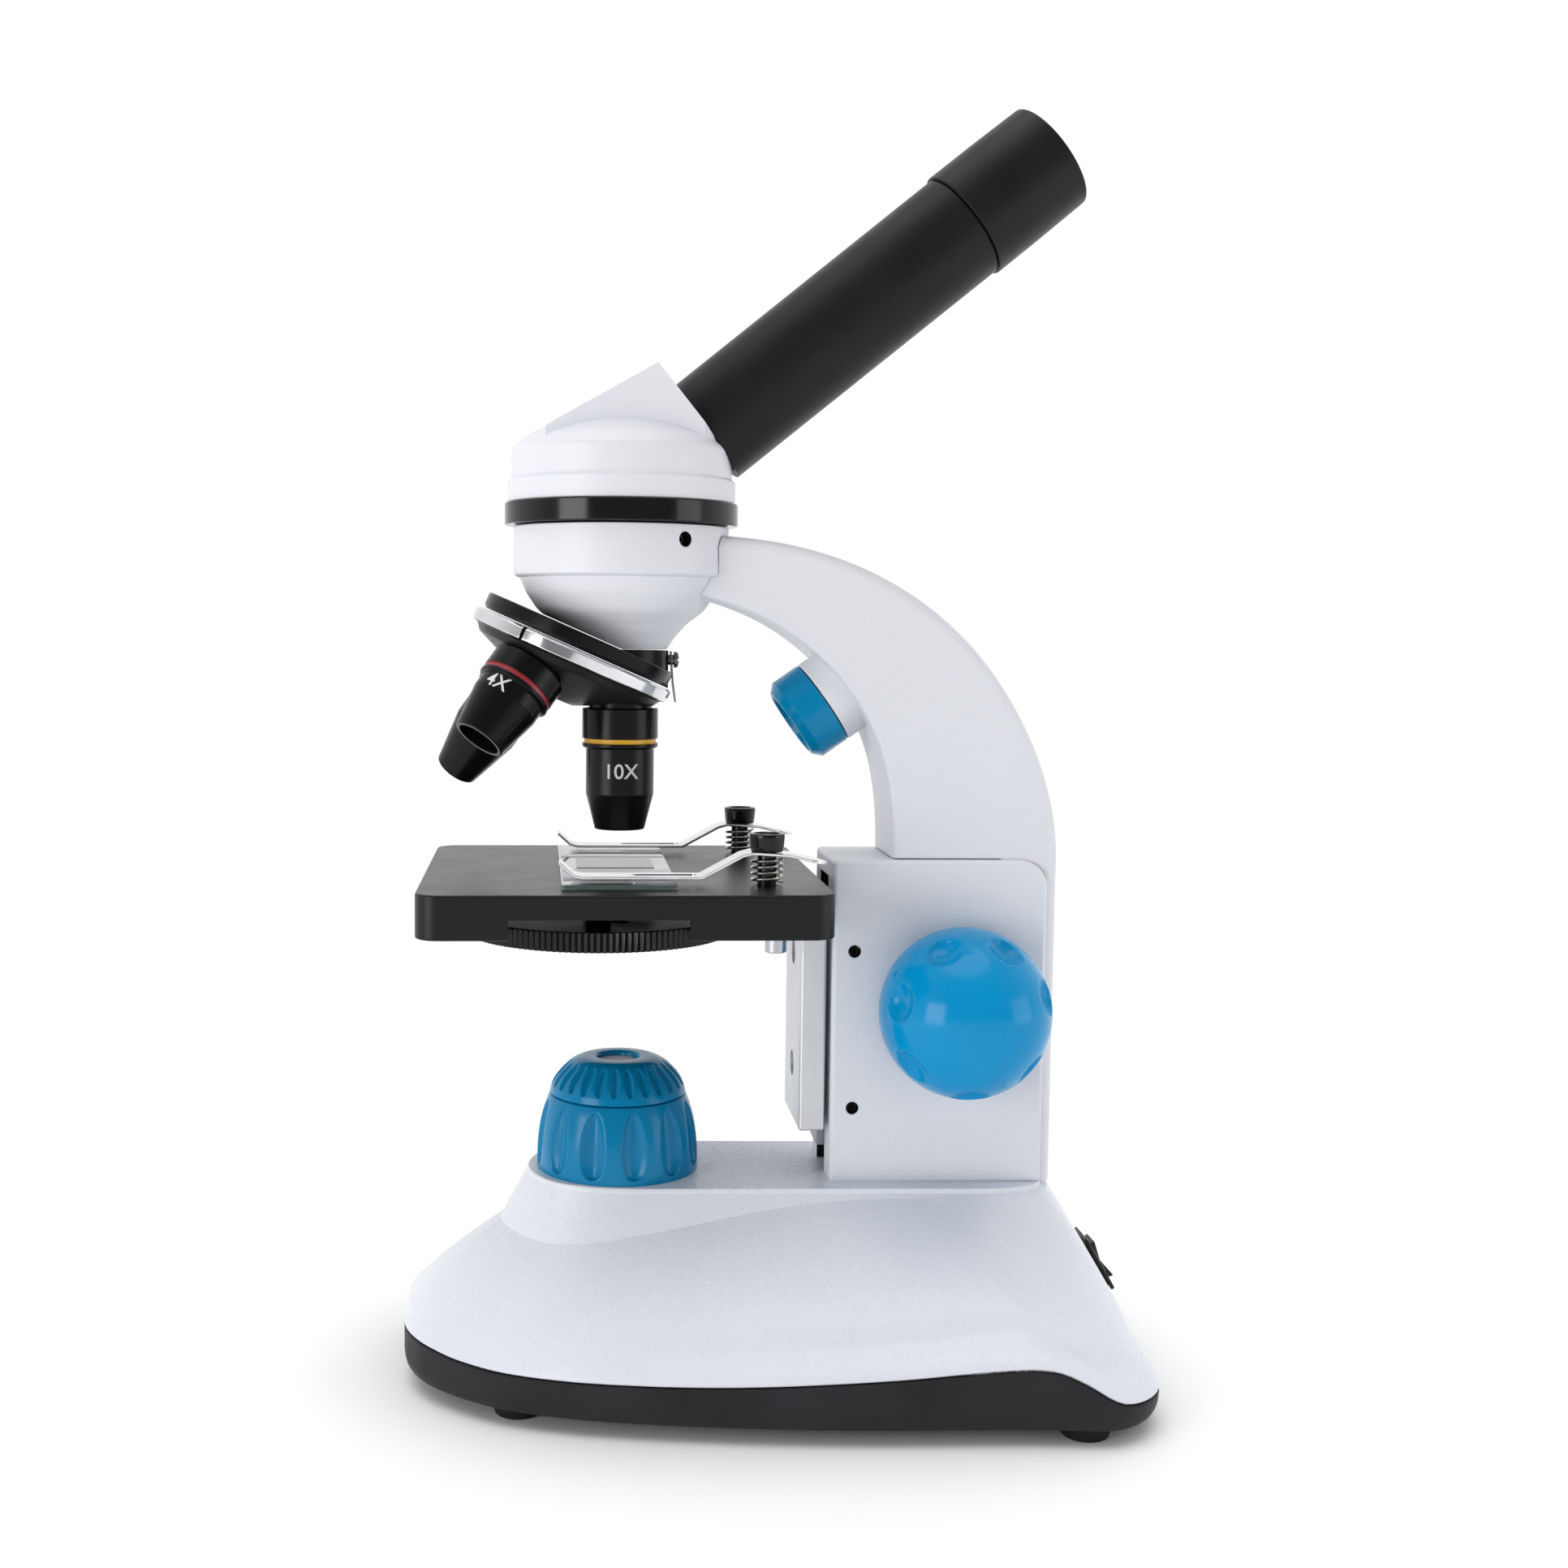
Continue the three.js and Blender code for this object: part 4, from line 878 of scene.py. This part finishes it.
def build_nosepiece():
    disc = lathe("nosepiece_plate_disc", rounded([
        (0, 0.3 - FACE), (22.7, 0.3 - FACE, 0.3), (23.3, 1.1 - FACE, 0.3), (23.3, 4 - FACE, 0.5),
        (0, 4 - FACE),
    ], False), 144)
    upright = NOSE.inverted()
    detent = shift(0, 0, DETENT_Z) @ turn("Y", 90)
    weld(disc, move(rod("wedge", 11.2, 42, 51.4, 64), upright))
    carve(
        disc,
        rod("below", 40, -60, 0.3 - FACE, 64),
        move(rod("light", 5.5, 0, 90), upright),
        move(rod("screw", 1.5, 5, 20, 24), upright @ detent),
    )
    make(disc, "stand", "barrel_black", "nosepiece_plate", at=NOSE)

    strip = [(11.55, 51.2), (11.85, 51.2), (12.35, 44), (13, 39.3), (12.75, 39.3), (12.05, 44)]
    leaf = extrude("detent_leaf", strip, -2.4, 2.4)
    carve(leaf, move(rod("hole", 1.4, 5, 20, 24), detent))
    make(leaf, "stand", "dark_steel", "detent_spring")
    head = [(0, 7), (1.2, 7), (1.2, 12.5), (1.9, 12.5, 0.1), (1.8, 13.4, 0.5), (0, 13.9)]
    screw = lathe("detent_pan_screw", rounded(head, False), 40)
    carve(screw, block("slot", (-0.25, -3, 13.3), (0.25, 3, 15)))
    make(screw, "stand", "dark_steel", "detent_screw", at=detent)

    def cone(r):
        """The height of the turret's underside, which is square to each barrel."""
        tilt = math.radians(NOSE_TILT)
        return (0.3 - SHOULDER + r * math.sin(tilt)) / math.cos(tilt)

    wheel = lathe("turret_wheel", rounded([
        (0, cone(5)), (5, cone(5), 1), (22, cone(22), 1.2), (23.2, -FACE - 3.4, 0.4),
        (RIM, -FACE - 2.9, 0.3), (RIM, -FACE - 0.5, 0.3), (RIM - 0.6, -FACE, 0.2), (0, -FACE),
    ], False), 160)
    for k in range(3):
        carve(wheel, move(rod("seat", 7.7, -60, 0, 64), turn("Z", 120 * k) @ turn("Y", -NOSE_TILT)))
        notch = block("notch", (-0.45, RIM - 0.9, -FACE - 4), (0.45, RIM + 2, -FACE + 1))
        carve(wheel, move(notch, turn("Z", 120 * k - 90)))

    def dark(c):
        """On the black cone, or in a notch of the rim, whose chrome faces are painted black as
        shade.
        """
        radius = math.hypot(c.x, c.y)
        off = abs((math.degrees(math.atan2(c.y, c.x)) + 60) % 120 - 60)
        return c.z < -FACE - 3.05 or (radius > RIM - 1 and math.radians(off) * radius < 0.48)

    # the cone is really satin black; the notches' faces get the same black as painted shade
    paint(wheel, 1, dark)
    make(wheel, "nosepiece", ("chrome", "satin_black_and_notch_shade"), "turret", at=NOSE)


def build_objectives():
    def at(t):
        return -SHOULDER - t

    # name, then millimetres below the shoulder: length, band, taper; then radii: tip, bore;
    # then the band's colour, and the mark's place, size and direction
    for k, (name, length, band, taper, tip, bore, colour, z, size, facing) in enumerate((
        ("10x", 28.6, 7.2, 20.2, 5.85, 4.4, "yellow", 14.8, 3.5, -90),
        ("40x", 33.6, 7.2, 20.2, 5.3, 3.6, "band_blue", 14.8, 3.5, -90),
        ("4x", 20.6, 5.0, 10.4, 6.1, 5.0, "red", 9.2, 3.4, 0),
    )):
        profile = rounded([
            (3, at(length - 3)), (bore, at(length - 3)), (bore + 0.1, at(length), 0.15),
            (tip, at(length), 0.35), (8, at(taper), 0.5), (8, at(band + 2.3), 0.15),
            (8.55, at(band + 2.2), 0.15), (8.9, at(band + 1.9), 0.2), (8.9, at(band + 1.1), 0.15),
            (8.45, at(band + 0.95)), (8.45, at(band + 0.1)), (8.9, at(band), 0.15),
            (8.9, at(0.2), 0.25), (7.4, at(0)), (7.4, at(-5.2)), (6, at(-5.2)), (6, at(3)),
            (3, at(length - 7)),
        ])
        barrel = lathe(f"objective_{name}_barrel", profile, 128)
        low, high = at(band + 1.1), at(band + 0.02)
        paint(barrel, 1, lambda c: low < c.z < high and math.hypot(c.x, c.y) > 8.2)
        mark = lettering(name.upper(), size, 8.0, at(z), facing)
        paint(mark, 2, lambda c: True)
        merge(barrel, mark)
        spot = NOSE @ turn("Z", 120 * k) @ turn("Y", -NOSE_TILT)
        mats = ("barrel_black", colour, "ink")
        make(barrel, "nosepiece", mats, "objective_" + name, at=spot)
        tip_z = at(length - 3.3)
        lens = [(0, 0), (2.0, 0.15), (2.7, 0.4), (2.7, 2.7), (0, 2.7)]
        glass = lathe(f"objective_{name}_glass", [(r, tip_z + rise) for r, rise in lens], 64)
        make(glass, "nosepiece", "glass", f"objective_{name}_lens", at=spot)


# ---------- stage ----------
def build_stage():
    x, y, thick, hollow, wall = 45.2, 46.3, 9.8, 3, 2.6
    pivot = shift(DISC_X, DISC_Y, 0)
    spots = [shift(SCREW_X, s * SCREW_Y, 0) for _, s in SIDES]
    plate = extrude("stage_table", rectangle(-x, -y, x, y, 5.2, 14), -thick, 0, "XY")
    soften(plate, 0.45, 3)
    under = rectangle(wall - x, wall - y, x - wall, y - wall, 3)
    light = rounded([(0, -thick), (9, -thick), (9, -0.3), (9.3, 0), (9.3, 1), (0, 1)], False)
    carve(
        plate,
        extrude("under", under, -thick - 1, -hollow, "XY"),
        block("notch", (-25.2, -y - 1, -thick - 1), (13.7, -y + wall + 1, -5.3)),
        lathe("light", light, 96),
    )
    for (_, s), spot in zip(SIDES, spots):
        carve(plate, move(rod("post", 2.4, -thick, 1), shift(POST_X, s * POST_Y, 0)))
        weld(plate, move(rod("boss", 4.2, -thick, -2.8), spot))
        carve(plate, move(rod("thread", 1.6, -thick - 1, -4, 24), spot))
    weld(plate, move(rod("pivot", 3, -8, -2.8), pivot))
    carve(plate, move(rod("thread", 1, -9, -4, 24), pivot))
    make(plate, "stage", "stage_black", "stage_plate", sharp=38)

    bracket = soften(block("bracket", (41.8, -13.6, -60.2), (47.8, 13.6, -9.6)), 0.7, 3)
    bracket.name = "stage_bracket_block"
    flange = extrude("flange", rectangle(28, -29, 44, 29, 2), -12.1, -9.6, "XY")
    weld(bracket, soften(flange, 0.3, 2))
    cuts = [block("groove", (46.9, -5.8, -62), (49, 5.8, 0))]
    for z in (-20, -47):
        bore = lathe("hole", [(0, -2), (1.9, -2), (1.9, 8), (0, 8)], 48)
        sink = lathe("sink", [(0, -2), (3.0, -2), (3.0, 2.0), (0, 2.0)], 48)
        cuts += [move(tool, shift(41.8, 0, z) @ turn("Y", 90)) for tool in (bore, sink)]
    cuts += [move(rod("way", 1.6, -14, 0, 24), spot) for spot in spots]
    carve(bracket, *cuts)
    make(bracket, "stage", "aluminium", "stage_bracket")

    top = -12.4
    profile = rounded([
        (0, top - 4), (2.45, top - 4, 0.35), (2.45, top, 0.1), (1.3, top), (1.3, -4.5), (0, -4.5),
    ], False)
    for (name, _), spot in zip(SIDES, spots):
        screw = lathe(f"stage_screw_{name}_cap", profile, 64)
        carve(screw, rod("hex", 1.25, top - 5, top - 2.3, 6))
        make(screw, "stage", "steel", "stage_screw_" + name, at=spot)

    outline = [(-13.9, -37.8, 0.8), (11.4, -37.8, 0.8), (11.4, 36.6, 0.8), (-14.4, 36.6, 0.8)]
    slide = soften(extrude("slide_glass", rounded(outline), 0.1, 1.1, "XY"), 0.1, 2)
    paint(slide, 2, lambda c: c.z < 1.0 and (abs(c.y) > 36 or c.x > 11 or c.x < -13))
    label = extrude("label", rectangle(-13.6, -30, 11.1, -12.5, 0.5), 1.1, 1.2, "XY")
    paint(label, 1, lambda c: True)
    cover = extrude("cover", rectangle(-10.2, -9, 7.8, 9, 0.3), 1.1, 1.2, "XY")
    other = extrude("label", rectangle(-13.7, 12, 11.1, 17, 0.5), 1.1, 1.2, "XY")
    paint(other, 1, lambda c: True)
    merge(slide, label, cover, other)
    make(slide, "stage", ("glass", "paper", "edge_glass"), "specimen_slide")


def build_slide_bar():
    bar = weld(
        soften(block("bar", (47.2, -5.5, -65.8), (52.6, 5.5, -10)), 0.3, 2),
        soften(block("dovetail", (52.1, -8.2, -65.8), (62, 8.2, -10)), 0.3, 2),
    )
    bar.name = "slide_bar_way"
    make(bar, "stage", "ground_steel", "slide_bar")


def build_aperture_disc():
    def knurl(r, z, a):
        if r < 29.5:
            return r, z
        return r - 0.55 * abs((a * 66 / math.pi) % 1 * 2 - 1), z

    pivot = shift(DISC_X, DISC_Y, 0)
    profile = rounded([
        (0, -11), (25.8, -11), (25.8, -12.8, 0.2), (29.8, -12.8, 0.3), (29.8, -8.3, 0.3), (0, -8.3),
    ], False, 3)
    disc = lathe("aperture_wheel", profile, 1056, knurl)
    orbit, start = math.hypot(DISC_X, DISC_Y), math.atan2(-DISC_Y, -DISC_X)
    for k, r in enumerate((6.5, 5, 3.6, 2.4, 1.4)):
        a = start + 2 * math.pi * k / 5
        spot = shift(orbit * math.cos(a), orbit * math.sin(a), 0)
        carve(disc, move(rod("hole", r, -20, 0, 64), spot))
    carve(disc, rod("pivot", 1.2, -20, 0, 24))
    make(disc, "diaphragm", "gloss_black", "aperture_disc", at=pivot, sharp=28)
    under = -11.3
    pin = rounded([
        (0, under - 1.4), (2.4, under - 1.4, 0.5), (2.6, under, 0.1), (0.8, under), (0.8, -4.5),
        (0, -4.5),
    ], False)
    screw = lathe("disc_pivot_screw", pin, 48)
    make(screw, "stage", "steel", "disc_screw", at=pivot)


def build_clips():
    spine = [
        (-46.1, 5.0), (-43, 2.2, 1.6), (-41, 1.7, 3), (-14.6, 1.7, 2.2), (-5.6, 6.6, 2),
        (-3.4, 7.15, 2), (4.5, 6.7, 8), (13.2, 4.7),
    ]
    line = [Vector(p) for p in rounded(spine, False, 6)]
    upper, lower = [], [tuple(p) for p in line]
    for i, p in enumerate(line):
        d = (line[min(i + 1, len(line) - 1)] - line[max(i - 1, 0)]).normalized()
        upper.append(tuple(p + Vector((-d.y, d.x)) * 0.6))
    post = rounded([
        (0, -8.6), (2.1, -8.6, 0.2), (2.1, 7.6), (3.55, 7.6, 0.3), (3.75, 8.8, 0.8),
        (3.95, 10.9, 0.3), (3.85, 11.6, 0.3), (3.0, 11.6, 0.2), (2.7, 11.2, 0.2), (0, 11.2),
    ], False)
    for name, s in SIDES:
        strip = extrude(f"clip_{name}_leaf", lower + upper[::-1], -4, 4)
        edges = rounded([(-47.5, -4, 0), (-47.5, 4, 0), (13.6, 4, 3.9), (13.6, -4, 3.9)], steps=8)
        trim = extrude("trim", [(x - 0.2, y) for x, y in edges], 0, 12, "XY")
        combine(strip, trim, "INTERSECT")
        soften(strip, 0.12, 2, 50)
        carve(
            strip,
            rod("post", 2.5, 0, 12),
            extrude("slot", rectangle(-30, -1.4, -15.5, 1.4, 1.39), 0, 5, "XY"),
        )
        spot = shift(POST_X, s * POST_Y, 0)
        make(strip, name + "_clip", "chrome", "clip_" + name, at=spot, sharp=35)
        cap = lathe(f"clip_post_{name}_cap", post, 72)
        make(cap, "stage", "gloss_black", "clip_post_" + name, at=spot)
        spring = coil(f"clip_spring_{name}_wire", 3.3, 0.35, 0.7, 6, 4)
        node = "clip_spring_" + name
        make(spring, "stage", "spring_steel", node, at=spot, weighted=False)


def build_knobs():
    ends = [(14.5, 0), (17.6, 0.6), (19.5, 4.6), (19.5, 9.6), (19.5, 21), (11.5, 30), (0, 30)]
    line = [tuple(p) for p in resample(bezier(ends, 40), 110)]
    line[-1] = (0, 30)
    profile = [(0, 27.5), (3.1, 27.5), (3.1, 0)] + line
    slope = Vector((0.78, 0.62))
    spots = [
        Vector((16.9 * math.cos(a), 16.9 * math.sin(a), 18.9))
        for a in map(math.radians, (18, 66, 114, 166, 217, 269, 320))
    ]

    def dimple(r, z, a):
        if r < 9 or z < 8:
            return r, z
        here = Vector((r * math.cos(a), r * math.sin(a), z))
        share = 1 - (min((here - spot).length for spot in spots) / 4.4) ** 2
        if share <= 0:
            return r, z
        depth = 2.4 * share**0.85
        return r - depth * slope.x, z - depth * slope.y

    for name, s in SIDES:
        knob = lathe(f"knob_{name}_dome", profile, 400, dimple)
        spot = shift(SHAFT_X, s * (CHEEK + 0.4), SHAFT_Z) @ turn("X", -90 * s)
        node = "knob_" + name
        make(knob, "focus", "knob_blue", node, at=spot, sharp=60, weighted=False)


def finish_cad_nodes():
    """Gives the hidden and inner CAD nodes their materials."""
    for names, look in (
        (("gib", "rack", "battery_2"), "brass"), (("pinion_shaft",), "steel"),
        (("gib_screw_upper", "gib_screw_lower"), "shade"), (("battery_1", "battery_3"), "sleeve"),
        (("circuit_board",), "board"), (("base_led",), "frosted"), (("prism",), "glass"),
    ):
        for name in names:
            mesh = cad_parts[name].data
            mesh.materials.clear()
            mesh.materials.append(MATS[look])


# ---------- studio, in metres ----------
FLOOR_SIZE = 12.0
FRONT, BACK = 0.28, 1.0  # how bright the room is in front, and the sweep behind and above
EYE, YAW, PITCH, ROLL = (-16.705, -440.98, 56.817), 0.0623, 0.0833, -0.0086  # the camera's, in mm


def build_floor():
    mesh = bpy.data.meshes.new("floor")
    size = FLOOR_SIZE
    corners = [(-size, -size, 0), (size, -size, 0), (size, size, 0), (-size, size, 0)]
    mesh.from_pydata(corners, [], [(0, 1, 2, 3)])
    floor = add("floor", mesh)
    mesh.materials.append(Look("floor", (0.97, 0.97, 0.97), 0.9, Specular_IOR_Level=0.1).mat)


def build_room():
    """A white sweep behind and above, a darker room in front, and plain white to the camera."""
    world = bpy.context.scene.world or bpy.data.worlds.new("world")
    bpy.context.scene.world = world
    world.use_nodes = True
    tree = world.node_tree
    split = tree.nodes.new("ShaderNodeSeparateXYZ")
    tree.links.new(tree.nodes.new("ShaderNodeTexCoord").outputs["Generated"], split.inputs[0])
    ramp = tree.nodes.new("ShaderNodeMapRange")
    steps = {"From Min": -0.75, "From Max": 0.15, "To Min": FRONT, "To Max": BACK}
    for key, value in steps.items():
        ramp.inputs[key].default_value = value
    tree.links.new(split.outputs["Y"], ramp.inputs["Value"])
    seen = tree.nodes.new("ShaderNodeMix")
    path = tree.nodes.new("ShaderNodeLightPath")
    tree.links.new(path.outputs["Is Camera Ray"], seen.inputs["Factor"])
    tree.links.new(ramp.outputs["Result"], seen.inputs["A"])
    seen.inputs["B"].default_value = 1.0
    tree.links.new(seen.outputs["Result"], tree.nodes["Background"].inputs["Strength"])
    tree.nodes["Background"].inputs["Color"].default_value = (1, 1, 1, 1)


def build_lights():
    target = Vector((0.0, 0, 0.14))
    for name, kind, place, size, power in (
        ("top", "SUN", (-0.05, -0.05, 1.0), 0.9, 1.05),
        ("left", "AREA", (-0.8, -0.65, 0.2), 0.5, 4.3),
        ("right", "AREA", (1.0, -0.45, 0.2), 0.55, 1.9),
    ):
        data = bpy.data.lights.new(name, kind)
        data.energy = power
        if kind == "AREA":
            data.shape, data.size = "SQUARE", size
        else:
            data.angle = size
        lamp = add(name, data)
        lamp.location = place
        lamp.rotation_euler = (target - Vector(place)).to_track_quat("-Z", "Y").to_euler()


def build_camera():
    data = bpy.data.cameras.new("camera")
    data.sensor_width, data.lens, data.shift_x = 36.0, 43.12, 0.0756
    camera = add("camera", data)
    level = math.cos(PITCH)
    ahead = Vector((math.sin(YAW) * level, math.cos(YAW) * level, -math.sin(PITCH)))
    right = Vector((math.cos(YAW), -math.sin(YAW), 0))
    up = right.cross(ahead)
    side = right * math.cos(ROLL) - up * math.sin(ROLL)
    over = up * math.cos(ROLL) + right * math.sin(ROLL)
    spin = Matrix((side, over, -ahead)).transposed().to_4x4()
    camera.matrix_world = Matrix.Translation(WORLD @ Vector(EYE)) @ spin
    bpy.context.scene.camera = camera
    bpy.context.scene.view_settings.view_transform = "Standard"


build_base()
build_switch()
build_base_lamp()
build_arm()
build_housing()
build_head()
build_eyepiece()
build_nosepiece()
build_objectives()
build_stage()
build_slide_bar()
build_aperture_disc()
build_clips()
build_knobs()
finish_cad_nodes()
build_floor()
build_room()
build_lights()
build_camera()
